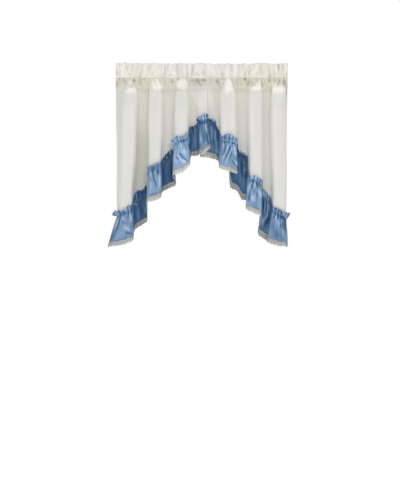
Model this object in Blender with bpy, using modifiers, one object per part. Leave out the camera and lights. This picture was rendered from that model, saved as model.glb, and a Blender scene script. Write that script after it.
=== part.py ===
"""A ruffled swag and tail drape: a pair of swag panels that share one curtain rod.

Each panel is one cloth. Its top is turned down to the back, which makes a frill and, under it, a pocket for the
rod. Below the pocket it hangs in soft folds, and its lower edge climbs from a long outer tail to the short middle.
A gathered ruffle with a small frill of its own is sewn along that edge, and a lace edging finishes the ruffle.

The rod's axis is X, through the origin. Z is up, and the room is on the -Y side. Lengths are in metres.
"""

import math
from collections import namedtuple

import bmesh
import bpy
import numpy as np

MM = 0.001

# Cloth
PANEL_THICK = 1.5 * MM
RUFFLE_THICK = 1.5 * MM
LACE_THICK = 1.2 * MM
SEWN_GAP = 0.8 * MM  # between two pieces that are sewn face to face
SEAM_ALLOWANCE = 5 * MM  # of the panel, behind the ruffle's stitch line

# Frill and rod pocket
FRILL = 76 * MM
POCKET = 76 * MM
SEAM_RISE = 27 * MM  # of the frill's seam above the rod's axis
ROD_WAY_TOP = 7 * MM  # below the frill's seam
ROD_WAY_FOOT = 47 * MM
ROD_WAY_HALF_DEPTH = 8.5 * MM
SEAM_GATHER = 5 * MM  # half the depth of the gathers at the frill's seam
FRILL_GATHER = 13 * MM  # and at the frill's top edge
FRILL_RAGGED = 3 * MM  # how far the frill's top edge rises and falls
GATHER_PITCH = 44 * MM  # of cloth
POCKET_PUFF = 5 * MM
FOOT_DEPTH = 0.6  # share of the folds' depth that is reached at the pocket's foot
FOLDS_SETTLE = 110 * MM  # below the foot, where the folds have their whole depth

# Ruffle and lace
RUFFLE_RAGGED = 2.5 * MM  # how far its small frill's top and its hem rise and fall
FRILL_FLARE = 10 * MM
PUCKER_PITCH = 25 * MM
PUCKER_DEPTH = 6.5 * MM
VALLEY_SQUEEZE = 0.6  # share of the frill's flare and puckers that is lost in the valleys, between the folds
HEM_SHARE = 0.84  # of the skirt, where the ruffle's own cloth ends
LACE_SHARE = 0.82  # of the skirt, where the lace begins, laid over the ruffle

# Mesh
COLUMN = 11 * MM
FOLD_RADIUS = 11 * MM
HEM_RADIUS = 16 * MM
STEP_RADIUS = 5 * MM  # of the steps up and down in the lower edge and the hem
BODY_ROWS = 7
POCKET_DROPS = (1.0, 0.82, 0.62, 0.09, 0.0)  # shares of the pocket's height
FRILL_RISES = (0.0, 0.2, 0.6, 1.0)  # shares of the frill's height
RUFFLE_ROWS = (-1.0, 0.0, 0.18, 0.5, HEM_SHARE)  # -1 is the small frill's top, 0 the stitch line, 1 the hem
LACE_ROWS = (LACE_SHARE, 1.0)

# The corners of the folds, from each outer side to the middle, in millimetres. top_x is at the foot of the rod
# pocket, low_x and y at the panel's lower edge. seam_drop is the stitch line's height below the frill's seam. rise
# is how tall the ruffle's own small frill stands above the stitch line, and lean how far its top leans along X.
# hem_x, hem_y and hem_drop are the same corner at the hem of the lace.
Corner = namedtuple("Corner", "top_x low_x y seam_drop rise lean hem_x hem_y hem_drop")

LEFT_CORNERS = (
    Corner(-448, -443, 6, 724, 8, -9, -490, -30, 886),  # side hem, turned back
    Corner(-408, -434, -22, 722, 30, -14, -464, -46, 880),  # tail fold
    Corner(-344, -368, -22, 696, 30, 0, -354, -44, 847),
    Corner(-334, -358, 18, 640, 24, 0, -358, 10, 797),  # valley
    Corner(-276, -281, 18, 588, 23, 0, -278, 10, 748),
    Corner(-271, -276, -22, 481, 20, -4, -276, -42, 654),  # second fold
    Corner(-211, -216, -22, 455, 18, 0, -213, -42, 633),
    Corner(-203, -206, 18, 439, 20, 0, -211, 8, 596),  # valley
    Corner(-140, -144, 18, 397, 24, -5, -124, 8, 557),
    Corner(-135, -142, -22, 350, 28, -16, -145, -42, 513),  # third fold
    Corner(-75, -73, -22, 319, 33, 0, -61, -42, 466),
    Corner(-66, -62, 14, 277, 30, 0, -61, 5, 408),  # valley
    Corner(-26, -20, 14, 251, 16, 0, -18, 5, 408),
    Corner(-15, -14, -14, 235, 22, -12, -14, -30, 403),  # middle fold, with a crease near its edge
    Corner(16, 18, -14, 227, 36, -6, 20, -33, 390),
    Corner(21, 25, -13, 225, 37, 0, 31, -18, 384),
    Corner(27.7, 33, -14, 223, 28, 0, 46, -29, 371),  # inner side hem
)
RIGHT_CORNERS = (
    Corner(448, 442, 6, 730, 20, 7, 441, -28, 884),  # side hem, turned back
    Corner(432, 437, -22, 727, 14, 6, 426, -46, 878),  # tail fold
    Corner(367, 373, -22, 696, 24, 0, 333, -44, 834),
    Corner(362, 366, 18, 664, 32, 0, 352, 10, 830),  # valley
    Corner(318, 317, 18, 617, 29, 0, 289, 10, 811),
    Corner(312, 310, -22, 560, 27, 4, 315, -42, 717),  # second fold
    Corner(248, 249, -22, 533, 22, 0, 226, -42, 690),
    Corner(242, 240, 18, 445, 25, 0, 238, 8, 638),  # valley
    Corner(180, 190, 18, 392, 16, 2, 161, 10, 570),
    Corner(173, 177, -22, 345, 28, 5, 197, -40, 507),  # third fold
    Corner(101, 101, -22, 329, 34, 0, 90, -42, 471),
    Corner(93, 95, 14, 300, 28, 0, 93, 5, 424),  # valley
    Corner(62, 60, 14, 236, 20, 6, 48, 8, 420),
    Corner(28.8, 31, 1, 221, 14, 0, -3, -4, 411),  # inner side hem, behind the left panel's middle fold
)


class Folds:
    """The folds of one panel, read at any place along its cloth. A place is a distance from the outer side."""

    def __init__(self, corners):
        self.columns = {name: MM * np.array([getattr(c, name) for c in corners], float) for name in Corner._fields}
        across = np.diff(self.columns["low_x"])
        deep = np.diff(self.columns["y"])
        self.corner_places = np.concatenate([[0.0], np.cumsum(np.hypot(across, deep))])
        self.width = self.corner_places[-1]
        self.front = 1.0 if across.sum() > 0 else -1.0
        self.outer_x, self.inner_x = self.columns["top_x"][[0, -1]]

    def places(self, halves=1):
        """Places to build at: each corner, and even steps of about COLUMN between corners."""
        found = [np.zeros(1)]
        for start, end in zip(self.corner_places[:-1], self.corner_places[1:]):
            steps = halves * max(1, round((end - start) / COLUMN))
            found.append(np.linspace(start, end, steps + 1)[1:])
        return np.concatenate(found)

    def read(self, name, places, radius=FOLD_RADIUS):
        """A column of the table at these places, with each corner rounded over the radius."""
        room = np.minimum(places, self.width - places)
        reach = np.clip(room, 0, radius)
        around = [places + share * reach for share in np.linspace(-1, 1, 9)]
        return np.mean([np.interp(p, self.corner_places, self.columns[name]) for p in around], axis=0)

    def outward(self, x, y):
        """Unit vectors in plan that point out of the cloth's front at each place, lengthened at the corners so that
        a row moved along them keeps an even distance."""
        across, deep = np.diff(x), np.diff(y)
        length = np.hypot(across, deep)
        normals = self.front * np.stack([deep / length, -across / length])
        before = np.concatenate([normals[:, :1], normals], axis=1)
        after = np.concatenate([normals, normals[:, -1:]], axis=1)
        middle = before + after
        return 2 * middle / (middle**2).sum(axis=0)


def smooth(share):
    """0 to 1 with level ends."""
    share = np.clip(share, 0, 1)
    return share * share * (3 - 2 * share)


def uneven_waves(places, pitch, start=0.0):
    """Waves from about -1 to 1, whose length and height vary a little."""
    turn = 2 * math.pi * places / pitch
    drift = 0.9 * np.sin(turn / 5.3 + start) + 0.5 * np.sin(turn / 2.9 + 2 * start)
    return np.sin(turn + drift) * (0.8 + 0.2 * np.sin(turn / 3.7 + 3 * start))


def body_row(folds, places, share):
    """The panel between the pocket's foot (share 0) and its lower edge (share 1)."""
    x = (1 - share) * folds.read("top_x", places) + share * folds.read("low_x", places)
    edge = folds.read("seam_drop", places, STEP_RADIUS) + SEAM_ALLOWANCE
    drop = POCKET + share * (edge - POCKET)
    depth = FOOT_DEPTH + (1 - FOOT_DEPTH) * smooth((drop - POCKET) / FOLDS_SETTLE)
    return x, depth * folds.read("y", places), SEAM_RISE - drop


def gathered(folds, places):
    """The cloth at the frill's seam, where it is gathered evenly along the rod."""
    x = folds.outer_x + (folds.inner_x - folds.outer_x) * places / folds.width
    return x, SEAM_GATHER * uneven_waves(places, GATHER_PITCH, start=folds.outer_x)


def pocket_row(folds, places, share, back):
    """One layer of the rod pocket, between the frill's seam (share 0) and the pocket's foot (share 1)."""
    seam_x, seam_y = gathered(folds, places)
    foot_x, foot_y, _ = body_row(folds, places, 0.0)
    drop = share * POCKET
    x = seam_x + (foot_x - seam_x) * smooth(share)
    y = seam_y + (foot_y - seam_y) * smooth(share)
    y = y + POCKET_PUFF * math.sin(math.pi * share) * np.sign(foot_y)
    opened = min(drop / ROD_WAY_TOP, 1.0, (POCKET - drop) / (POCKET - ROD_WAY_FOOT))
    wall = ROD_WAY_HALF_DEPTH + PANEL_THICK / 2
    clear_y = np.maximum(y, wall) if back else np.minimum(y, -wall)
    y = y if opened <= 0 else y + opened * (clear_y - y)
    return x, y, np.full_like(x, SEAM_RISE - drop)


def frill_row(folds, places, share):
    """The frill, from its seam (share 0) to its top edge (share 1)."""
    x, seam_y = gathered(folds, places)
    top_y = FRILL_GATHER * uneven_waves(places, 2 * GATHER_PITCH, start=1.0 + folds.outer_x)
    fine_y = SEAM_GATHER * uneven_waves(places, GATHER_PITCH, start=2.0)
    y = seam_y + (top_y + fine_y - seam_y) * smooth(share)
    ragged = FRILL_RAGGED * uneven_waves(places, 1.7 * GATHER_PITCH, start=4.0)
    return x, y, SEAM_RISE + share * (FRILL + ragged)


def ruffle_row(folds, places, share, stand_off):
    """The ruffle, from its small frill's top (share -1) past the stitch line (0) to the hem (1). It follows the
    panel's lower edge at the stitch line, stand_off in front of the panel's middle."""
    coarse = folds.places()
    seam_x = np.interp(places, coarse, folds.read("low_x", coarse))
    seam_y = np.interp(places, coarse, folds.read("y", coarse))
    seam_z = SEAM_RISE - folds.read("seam_drop", places, STEP_RADIUS)
    down = max(share, 0.0)
    up = max(-share, 0.0)
    x = seam_x + down * (folds.read("hem_x", places, HEM_RADIUS) - seam_x)
    y = seam_y + math.sin(down * math.pi / 2) * (folds.read("hem_y", places, HEM_RADIUS) - seam_y)
    hem_z = SEAM_RISE - folds.read("hem_drop", places, STEP_RADIUS)
    ragged = RUFFLE_RAGGED * uneven_waves(places, 1.6 * PUCKER_PITCH, start=folds.inner_x)
    rise = folds.read("rise", places, STEP_RADIUS) + 2 * ragged
    z = seam_z + down * (hem_z + ragged - seam_z) + up * rise
    out_x, out_y = folds.outward(x, y)
    pucker = 0.5 + 0.5 * uneven_waves(places, PUCKER_PITCH, start=folds.outer_x + 0.6 * down)
    fold_y = folds.columns["y"]
    room = 1 - VALLEY_SQUEEZE * smooth((seam_y - fold_y.min()) / np.ptp(fold_y))
    out = stand_off + room * (up * FRILL_FLARE + PUCKER_DEPTH * (1 + 0.6 * up) * pucker)
    lean = up * folds.read("lean", places, STEP_RADIUS)
    return x + out * out_x + lean, y + out * out_y, z


def new_sheet(name, rows):
    """A mesh from a flat grid, with each of its rows of points moved to where that row of the cloth hangs."""
    across, up = len(rows[0][0]), len(rows)
    mesh = bpy.data.meshes.new(name)
    grid = bmesh.new()
    bmesh.ops.create_grid(grid, x_segments=across - 1, y_segments=up - 1, size=0.5)
    in_rows = sorted(grid.verts, key=lambda v: (round(v.co.y, 4), v.co.x))
    for row, (x, y, z) in enumerate(rows):
        for column in range(across):
            in_rows[row * across + column].co = (x[column], y[column], z[column])
    grid.to_mesh(mesh)
    grid.free()
    return mesh


def joined(name, *meshes):
    """One mesh from several, with the points that they share made one."""
    whole = bmesh.new()
    for mesh in meshes:
        whole.from_mesh(mesh)
        bpy.data.meshes.remove(mesh)
    bmesh.ops.remove_doubles(whole, verts=whole.verts, dist=0.01 * MM)
    made = bpy.data.meshes.new(name)
    whole.to_mesh(made)
    whole.free()
    return made


def thick_piece(name, mesh, thickness, material, branching=False):
    """The cloth's own object, with its thickness laid half on each side of the mesh."""
    piece = bpy.data.objects.new(name, mesh)
    drape.objects.link(piece)
    mesh.materials.append(material)
    mesh.shade_smooth()
    wall = piece.modifiers.new("cloth", "SOLIDIFY")
    wall.thickness = thickness
    wall.offset = 0.0
    if branching:
        wall.solidify_mode = "NON_MANIFOLD"
        wall.nonmanifold_thickness_mode = "EVEN"
    return piece


def panel(name, corners, material):
    """A swag panel: its front from the lower edge to the frill's top, and the turned-down layer that closes the
    rod pocket, which joins the front at the pocket's foot and at the frill's seam."""
    folds = Folds(corners)
    places = folds.places()
    body = [body_row(folds, places, 1 - row / BODY_ROWS) for row in range(BODY_ROWS)]
    front_pocket = [pocket_row(folds, places, share, back=False) for share in POCKET_DROPS]
    frill = [frill_row(folds, places, share) for share in FRILL_RISES[1:]]
    back_pocket = [pocket_row(folds, places, share, back=True) for share in POCKET_DROPS]
    front = new_sheet(name + "_front", body + front_pocket + frill)
    back = new_sheet(name + "_back", back_pocket)
    return thick_piece(name, joined(name, front, back), PANEL_THICK, material, branching=True)


def ruffle(name, corners, material):
    folds = Folds(corners)
    stand_off = PANEL_THICK / 2 + SEWN_GAP + RUFFLE_THICK / 2
    rows = [ruffle_row(folds, folds.places(halves=2), share, stand_off) for share in reversed(RUFFLE_ROWS)]
    return thick_piece(name, new_sheet(name, rows), RUFFLE_THICK, material)


def lace(name, corners, material):
    """The edging, which laps over the front of the ruffle's lower edge."""
    folds = Folds(corners)
    stand_off = PANEL_THICK / 2 + SEWN_GAP + RUFFLE_THICK + SEWN_GAP + LACE_THICK / 2
    rows = [ruffle_row(folds, folds.places(halves=2), share, stand_off) for share in reversed(LACE_ROWS)]
    return thick_piece(name, new_sheet(name, rows), LACE_THICK, material)


def cloth_material(name, colour, roughness):
    material = bpy.data.materials.new(name)
    material.use_nodes = True
    shader = material.node_tree.nodes["Principled BSDF"]
    shader.inputs["Base Color"].default_value = (*colour, 1.0)
    shader.inputs["Roughness"].default_value = roughness
    shader.inputs["Metallic"].default_value = 0.0
    return material


for leftover in list(bpy.data.objects):
    bpy.data.objects.remove(leftover)
drape = bpy.data.collections.new("swag_and_tail_drape")
bpy.context.scene.collection.children.link(drape)

ivory = cloth_material("ivory_cotton", (0.80, 0.79, 0.75), 0.8)
blue = cloth_material("blue_chintz", (0.16, 0.30, 0.52), 0.5)
cream = cloth_material("cream_lace", (0.70, 0.69, 0.65), 0.9)

for hand, fold_corners in (("left", LEFT_CORNERS), ("right", RIGHT_CORNERS)):
    panel("panel_" + hand, fold_corners, ivory)
    ruffle("ruffle_" + hand, fold_corners, blue)
    lace("lace_" + hand, fold_corners, cream)
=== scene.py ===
# %% [markdown]
# # A ruffled swag and tail drape
#
# This drape is a pair of ivory swag panels that share one curtain rod. Each panel's top is turned down to
# the back, which makes a frill and a pocket for the rod. Its lower edge climbs in steps from a long outer
# tail to the short middle, and a gathered blue ruffle with a lace edging is sewn along it.
#
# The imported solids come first. They fix where every cloth hangs, and each one is then replaced by a fine
# sheet that follows the same folds and adds what a solid is too coarse for: gathers, creases, hems,
# stitches and lace.

# %% Load the solids
import math
from collections import namedtuple

import bpy
import numpy as np
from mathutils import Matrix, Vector


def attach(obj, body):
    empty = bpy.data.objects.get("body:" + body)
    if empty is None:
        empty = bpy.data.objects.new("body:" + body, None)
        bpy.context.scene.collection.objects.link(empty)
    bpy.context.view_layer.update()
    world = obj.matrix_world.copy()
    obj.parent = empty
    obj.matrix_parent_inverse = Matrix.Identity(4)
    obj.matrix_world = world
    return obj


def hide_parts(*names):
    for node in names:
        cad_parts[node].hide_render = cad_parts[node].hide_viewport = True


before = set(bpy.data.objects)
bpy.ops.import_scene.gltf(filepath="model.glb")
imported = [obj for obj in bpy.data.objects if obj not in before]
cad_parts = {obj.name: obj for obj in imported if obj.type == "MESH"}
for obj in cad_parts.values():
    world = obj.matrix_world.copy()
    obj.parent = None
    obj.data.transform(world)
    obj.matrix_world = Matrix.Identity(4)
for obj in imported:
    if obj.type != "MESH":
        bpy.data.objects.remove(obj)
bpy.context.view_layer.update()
MM = 0.001
print("solids:", ", ".join(sorted(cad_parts)))

# %% [markdown]
# ## The folds, as a table
#
# A hung cloth is easiest to describe by where its folds turn. Each row below is one such corner, from the
# panel's outer side to its inner side: where it is at the foot of the rod pocket, at the panel's lower
# edge, and at the hem of the lace, in millimetres, with drops measured down from the frill's seam, and
# last the painted shade that the ruffle and its lace get there, from 0 on a lit fold to 1 in a shaded
# valley. They follow the solids' corners; a few hems and the right tail's seam were then moved by up to
# 37 mm, and the right hem has one step more.

# %% The fold corners
Corner = namedtuple("Corner", "top_x low_x y seam_drop hem_x hem_y hem_drop shade")

LEFT_CORNERS = (
    Corner(-448, -443, 6, 724, -490, -30, 886, 0.5),  # side hem, turned back
    Corner(-408, -434, -22, 722, -464, -46, 880, 0.45),  # tail fold
    Corner(-344, -368, -22, 696, -354, -44, 854, 0.38),
    Corner(-334, -358, 18, 640, -358, 10, 797, 0.9),  # valley
    Corner(-276, -281, 18, 588, -278, 10, 748, 0.88),
    Corner(-271, -276, -22, 481, -290, -42, 654, 0.38),  # second fold
    Corner(-211, -216, -22, 455, -213, -42, 633, 0.34),
    Corner(-203, -206, 18, 439, -211, 8, 596, 0.94),  # valley
    Corner(-140, -144, 18, 397, -124, 8, 557, 0.9),
    Corner(-135, -142, -22, 350, -157, -42, 513, 0.25),  # third fold
    Corner(-75, -73, -22, 319, -61, -42, 466, 0.25),
    Corner(-66, -62, 14, 277, -61, 5, 408, 0.84),  # valley
    Corner(-26, -20, 14, 251, -18, 5, 408, 0.78),
    Corner(-15, -14, -14, 235, -14, -30, 403, 0.58),  # middle fold, with a crease near its edge
    Corner(16, 18, -14, 227, 20, -33, 390, 0.54),
    Corner(21, 25, -13, 225, 31, -18, 384, 0.64),
    Corner(27.7, 33, -14, 223, 46, -29, 371, 0.58),  # inner side hem
)
RIGHT_CORNERS = (
    Corner(448, 442, 6, 742, 446, -28, 886, 0.52),  # side hem, turned back
    Corner(432, 437, -22, 738, 428, -46, 880, 0.46),  # tail fold
    Corner(367, 373, -22, 703, 333, -44, 857, 0.45),
    Corner(362, 366, 18, 664, 352, 10, 858, 0.6),  # valley
    Corner(318, 317, 18, 617, 284, 10, 817, 0.64),
    Corner(312, 310, -22, 560, 315, -42, 725, 0.32),  # second fold
    Corner(248, 249, -22, 533, 226, -42, 690, 0.36),
    Corner(242, 240, 18, 445, 238, 8, 639, 0.86),  # valley
    Corner(219, 222, 18, 426, 200, 14, 639, 0.88),
    Corner(207, 211, 18, 414, 199, 2, 590, 0.86),  # a step in the hem
    Corner(180, 190, 18, 392, 124, 6, 572, 0.82),
    Corner(179, 189, 14, 388, 126, 4, 488, 0.8),
    Corner(173, 177, -22, 345, 197, -40, 507, 0.3),  # third fold
    Corner(101, 101, -22, 329, 90, -42, 478, 0.36),
    Corner(93, 95, 14, 300, 93, 5, 434, 0.78),  # valley
    Corner(62, 60, 14, 236, 48, 8, 420, 0.72),
    Corner(28.8, 31, 1, 221, -10, -4, 413, 0.72),  # inner side hem, behind the left panel's middle fold
)


# %% Read the folds anywhere along the cloth
FOLD_RADIUS = 11 * MM
HEM_RADIUS = 15 * MM
STEP_RADIUS = 5 * MM
FOLD_Y, VALLEY_Y = -18 * MM, 14 * MM  # where the cloth counts as being on a fold, and in a valley


def smooth(share):
    share = np.clip(share, 0, 1)
    return share * share * (3 - 2 * share)


class Folds:
    """The folds of one panel, read at any distance along its cloth from the outer side."""

    def __init__(self, corners, seed):
        table = np.array(corners, float).T
        self.columns = {name: MM * column for name, column in zip(Corner._fields, table)}
        self.columns["shade"] = table[-1]
        across = np.diff(self.columns["low_x"])
        steps = np.hypot(across, np.diff(self.columns["y"]))
        self.corner_places = np.concatenate([[0.0], np.cumsum(steps)])
        self.width = self.corner_places[-1]
        self.front = 1.0 if across.sum() > 0 else -1.0
        self.outer_x, self.inner_x = self.columns["top_x"][[0, -1]]
        self.seed = seed

    def read(self, name, places, radius):
        """A column of the table, with its corners rounded over the radius."""
        reach = np.clip(np.minimum(places, self.width - places), 0, radius)
        around = np.stack([places + share * reach for share in np.linspace(-1, 1, 9)])
        return np.interp(around, self.corner_places, self.columns[name]).mean(axis=0)

    def faces(self, places):
        """0 to 1 and back across each proud fold, and 0 elsewhere."""
        turn = np.interp(places, self.corner_places, np.arange(len(self.corner_places)))
        first = np.clip(np.floor(turn).astype(int), 0, len(self.corner_places) - 2)
        y = self.columns["y"]
        proud = (y[first] == y[first + 1]) & (y[first] < 0)
        return np.where(proud, np.sin(math.pi * (turn - first)), 0.0)

    def recess(self, places):
        """0 on the front folds to 1 in the valleys."""
        y = self.read("y", places, FOLD_RADIUS)
        return smooth((y - FOLD_Y) / (VALLEY_Y - FOLD_Y))


left_folds = Folds(LEFT_CORNERS, seed=11)
right_folds = Folds(RIGHT_CORNERS, seed=23)
SIDES = (("left", left_folds), ("right", right_folds))
for hand, folds in SIDES:
    print(f"{hand} panel: {folds.width / MM:.0f} mm of cloth in {len(folds.corner_places)} corners")


# %% [markdown]
# ## Gathers that are never even
#
# Gathered cloth stands in small rounded pipes with a sharp crease between them, and no two are alike. A
# sine wave is too regular for that. Here the creases are set first, at uneven distances, and each pipe is
# then raised between two of them. The same seed gives the same gathers on every run.

# %% Functions for gathers
GATHERED_FROM = -0.3  # places along the cloth, in metres, that the gathers have to cover
GATHERED_SPAN = 1.2
DRIFT_SPAN = 1.6
UNEVEN_PITCH, UNEVEN_HEIGHT = (0.55, 1.5), (0.45, 1.0)  # the least and the most of each


def pipes_between(places, creases, heights, softness):
    """0 in the creases, up to its own height on each pipe. A small softness makes the creases sharp."""
    turn = np.interp(places, creases, np.arange(len(creases)))
    pipe = np.clip(np.floor(turn).astype(int), 0, len(creases) - 2)
    arch = np.sqrt(np.sin(math.pi * turn) ** 2 + softness**2) - softness
    return arch * heights[pipe] / (math.sqrt(1 + softness**2) - softness)


def gathers(places, pitch, seed, softness=0.25):
    """Pipes at uneven distances around the pitch, with uneven heights up to 1."""
    rng = np.random.default_rng(seed)
    count = int(GATHERED_SPAN / pitch) + 4
    creases = np.cumsum(pitch * rng.uniform(*UNEVEN_PITCH, count)) + GATHERED_FROM
    return pipes_between(places, creases, rng.uniform(*UNEVEN_HEIGHT, count), softness)


def drift(places, pitch, seed):
    """A slow, smooth wander from -1 to 1."""
    rng = np.random.default_rng(seed)
    knots = rng.uniform(-1, 1, int(DRIFT_SPAN / pitch) + 6)
    at = np.clip(places / pitch + 2, 0, len(knots) - 1.001)
    lower = np.floor(at).astype(int)
    return knots[lower] + (knots[lower + 1] - knots[lower]) * smooth(at - lower)


# %% [markdown]
# ## Creases placed one by one
#
# Some creases are large enough to give a fold its character, such as the slanting ones in the ruffle's
# proud folds. Those are placed one by one, as soft ridges and troughs. Each row has six numbers in
# millimetres: where the crease starts, across the drape and down from the frill's seam; how far it runs
# across and falls; its width; and its height, above 0 for a ridge and below 0 for a trough.

# %% The main creases of the ruffles
SEAM_RISE = 27 * MM  # of the frill's seam above the rod's axis

LEFT_CREASES = (
    # tail fold
    (-448, 816, -27, 31, 9, -2), (-442, 732, -25, 100, 4, -3), (-435, 709, 49, -6, 6, -3),
    (-433, 737, -18, 58, 6, 5), (-423, 732, -23, 73, 5, -6), (-412, 756, 26, 5, 5, -3),
    (-409, 727, 8, 21, 7, 4), (-399, 779, 32, 24, 12, 5), (-399, 806, 43, 10, 9, -4),
    (-379, 732, 4, 47, 5, -2), (-370, 701, 5, 52, 7, 5),
    # valley
    (-352, 662, 19, 5, 4, 4), (-344, 617, 8, 37, 4, -3), (-339, 601, -2, 37, 4, 5),
    (-339, 669, 3, 84, 4, 4), (-333, 662, -29, -8, 4, 5), (-328, 596, -3, 42, 5, -5),
    (-328, 680, 1, 63, 4, 5), (-326, 575, 3, 32, 5, -4), (-323, 638, 5, 89, 6, -9),
    (-316, 601, -1, 37, 4, 4), (-316, 607, 3, 26, 9, -4), (-315, 601, 3, 27, 9, -4),
    (-315, 680, 5, 42, 7, -4), (-310, 706, 24, -26, 7, 2.2), (-305, 586, -2, 47, 5, -5),
    (-295, 581, -1, 47, 4, 3), (-294, 581, 2, 36, 5, -2), (-294, 685, 8, 32, 8, 4),
    # second fold
    (-277, 481, -1, 58, 5, -3), (-271, 494, 51, -26, 7, -2.5), (-271, 612, 42, -8, 5, -3),
    (-265, 481, 0, 42, 7, 4), (-265, 539, 2, 52, 9, 3), (-258, 476, 8, 47, 5, -5),
    (-250, 523, 16, 52, 5, -5), (-242, 492, 5, 47, 6, 3), (-226, 481, -1, 21, 5, -5),
    (-218, 507, 1, 79, 6, 4),
    # valley
    (-201, 455, 1, 110, 5, -3), (-200, 431, 5, 11, 4, 8), (-194, 403, -2, 21, 5, -8),
    (-184, 405, 4, 16, 5, 6), (-181, 418, -1, 142, 6, 1), (-173, 397, 3, 24, 5, -5),
    (-169, 379, 8, 13, 6, 3), (-163, 384, 5, 19, 4, 4), (-157, 418, 1, 105, 6, -3),
    # third fold
    (-140, 429, 11, 21, 6, 3), (-136, 361, 0, 26, 5, -2), (-132, 411, 13, 20, 4, -5),
    (-127, 405, 18, 24, 6, 4), (-122, 332, 45, 0, 5, -4), (-116, 395, 15, 21, 4, -6),
    (-114, 340, 11, 26, 6, 5), (-109, 431, 21, 13, 8, 8), (-101, 416, 26, 21, 4, -6),
    (-98, 371, 8, 32, 11, 6), (-86, 345, 6, 32, 5, -3), (-70, 345, 10, 32, 5, -4),
    (-69, 246, 1, 26, 4, -7),
    # valley
    (-61, 329, 1, 48, 6, -4), (-58, 262, 1, 26, 4, 5), (-56, 277, 0, 84, 6, -3), (-48, 256, 2, 32, 4, -5),
    (-38, 288, 3, 73, 9, 1), (-38, 298, 4, 68, 5, 1.5), (-35, 246, 1, 31, 4, 3),
    # middle fold
    (-21, 225, 17, 21, 5, -5), (-20, 228, 32, 7, 6, -5), (-17, 217, 55, -10, 8, 5),
    (-16, 256, 2, 100, 5, -3), (-14, 209, 15, -7, 5, 4), (-13, 256, 4, 100, 4, 3),
    (-9, 241, 5, 73, 6, -3), (-5, 251, 1, 94, 5, 5), (-4, 246, 8, 78, 4, -3.5), (1, 238, 13, -1, 5, -3),
    (7, 196, 23, -1, 5, 7), (8, 262, 1, 83, 5, -3), (14, 256, 3, 84, 4, -2), (17, 241, 21, 104, 5, 4),
    (19, 235, 3, 42, 6, 4), (25, 293, 10, 59, 4, -7), (32, 230, 3, 42, 4, -3),
)
RIGHT_CREASES = (
    # tail fold
    (446, 698, 16, 6, 6, 4), (441, 714, 13, 5, 5, -5), (434, 743, 6, 52, 7, -5),
    (427, 737, 1, 63, 14, -4), (420, 685, 7, 58, 4, 5), (420, 711, 18, 13, 6, 4), (420, 790, 1, 42, 7, 3),
    (413, 737, 1, 27, 5, 4), (412, 722, 31, 29, 6, -7), (407, 769, 1, 13, 5, -4),
    (406, 693, 24, 37, 6, -5), (391, 732, 10, 53, 11, 3.5), (387, 743, 17, -29, 4, -4),
    (383, 680, 14, 37, 4, -4), (383, 805, 5, 37, 10, -2), (379, 737, 17, -26, 5, 2),
    (369, 737, 19, -31, 4, -4),
    # valley
    (369, 758, -12, 47, 6, -2), (357, 696, -8, 41, 6, -3), (349, 659, -10, 78, 5, 3),
    (349, 737, -22, 53, 8, -4), (346, 612, 8, 31, 6, -3), (344, 617, 8, 26, 6, 4),
    (338, 633, -1, 68, 5, -5), (336, 654, 3, 42, 8, 2), (336, 764, 21, -37, 6, -4),
    (331, 654, -2, 57, 4, 4), (323, 591, 5, 26, 5, 4), (323, 596, 5, 26, 7, 4), (320, 727, -4, 47, 8, 3),
    (318, 622, 8, 68, 6, -5), (318, 753, 28, -42, 7, 4),
    # second fold
    (300, 722, 1, 26, 6, -3), (297, 586, 12, 42, 9, 5), (290, 539, -1, 36, 6, -5),
    (286, 596, -3, 68, 5, -3), (277, 549, -9, 37, 6, 6), (261, 560, -8, 36, 5, -6),
    (260, 523, 8, -2, 7, 4), (258, 612, 14, 40, 11, 5), (253, 596, -10, 47, 6, -6),
    (252, 539, 29, -2, 6, -5), (246, 560, -7, 41, 5, 4), (237, 617, 5, 37, 7, -1),
    # valley
    (230, 507, 3, 16, 5, -4), (226, 473, 0, 16, 6, 5), (220, 445, 0, 88, 4, 2.5),
    (220, 523, -4, 63, 6, 2), (216, 455, 0, 10, 7, -3), (207, 429, 2, 84, 5, -4),
    (203, 460, -1, 94, 4, 3), (197, 405, 33, 17, 6, -6), (190, 384, 36, 21, 6, 4),
    # third fold
    (181, 361, 2, 31, 4, -4), (175, 439, 13, 21, 6, 6), (174, 533, 21, 27, 8, -2),
    (169, 356, 6, 57, 8, 6), (161, 340, 1, 6, 5, -6), (158, 366, -19, 47, 5, 5),
    (156, 434, 22, 33, 5, -5), (154, 395, -13, 39, 4, -4), (152, 361, -18, 42, 4, -5),
    (144, 340, -21, 47, 5, 5), (139, 413, -15, 37, 7, 5), (134, 403, -12, 26, 5, -3),
    (129, 316, 14, -2, 8, 3), (128, 356, -17, 52, 4, -5), (123, 387, -16, 47, 7, 5),
    (118, 329, -14, 53, 4, 4), (118, 338, 2, 5, 5, -6), (108, 312, 64, 14, 9, -5),
    # behind the middle fold
    (85, 277, 3, 79, 5, -2), (83, 272, 0, 57, 5, -3), (76, 371, 4, 26, 8, 4), (72, 272, 5, 105, 5, 3),
    (64, 241, 12, 31, 6, -4), (61, 262, 1, 94, 5, -3.5), (61, 267, 3, 62, 9, 4), (58, 350, 2, 32, 7, 1),
    (54, 217, 15, 11, 5, 4), (50, 262, 2, 62, 4, 3), (48, 241, 27, 10, 5, -4),
)


def crease_relief(creases, x, z):
    """How far the ridges and troughs move the cloth at x and z, outwards."""
    relief = np.zeros_like(x)
    across, drop = x / MM, (SEAM_RISE - z) / MM
    for start_x, start_drop, run, fall, width, height in creases:
        along = ((across - start_x) * run + (drop - start_drop) * fall) / (run**2 + fall**2)
        along = np.clip(along, 0, 1)
        away = np.hypot(across - start_x - along * run, drop - start_drop - along * fall)
        taper = 1 - 0.7 * np.abs(2 * along - 1) ** 3  # it dies out towards its ends
        relief = relief + taper * height * MM * np.exp(-((away / width) ** 2))
    return relief


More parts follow.
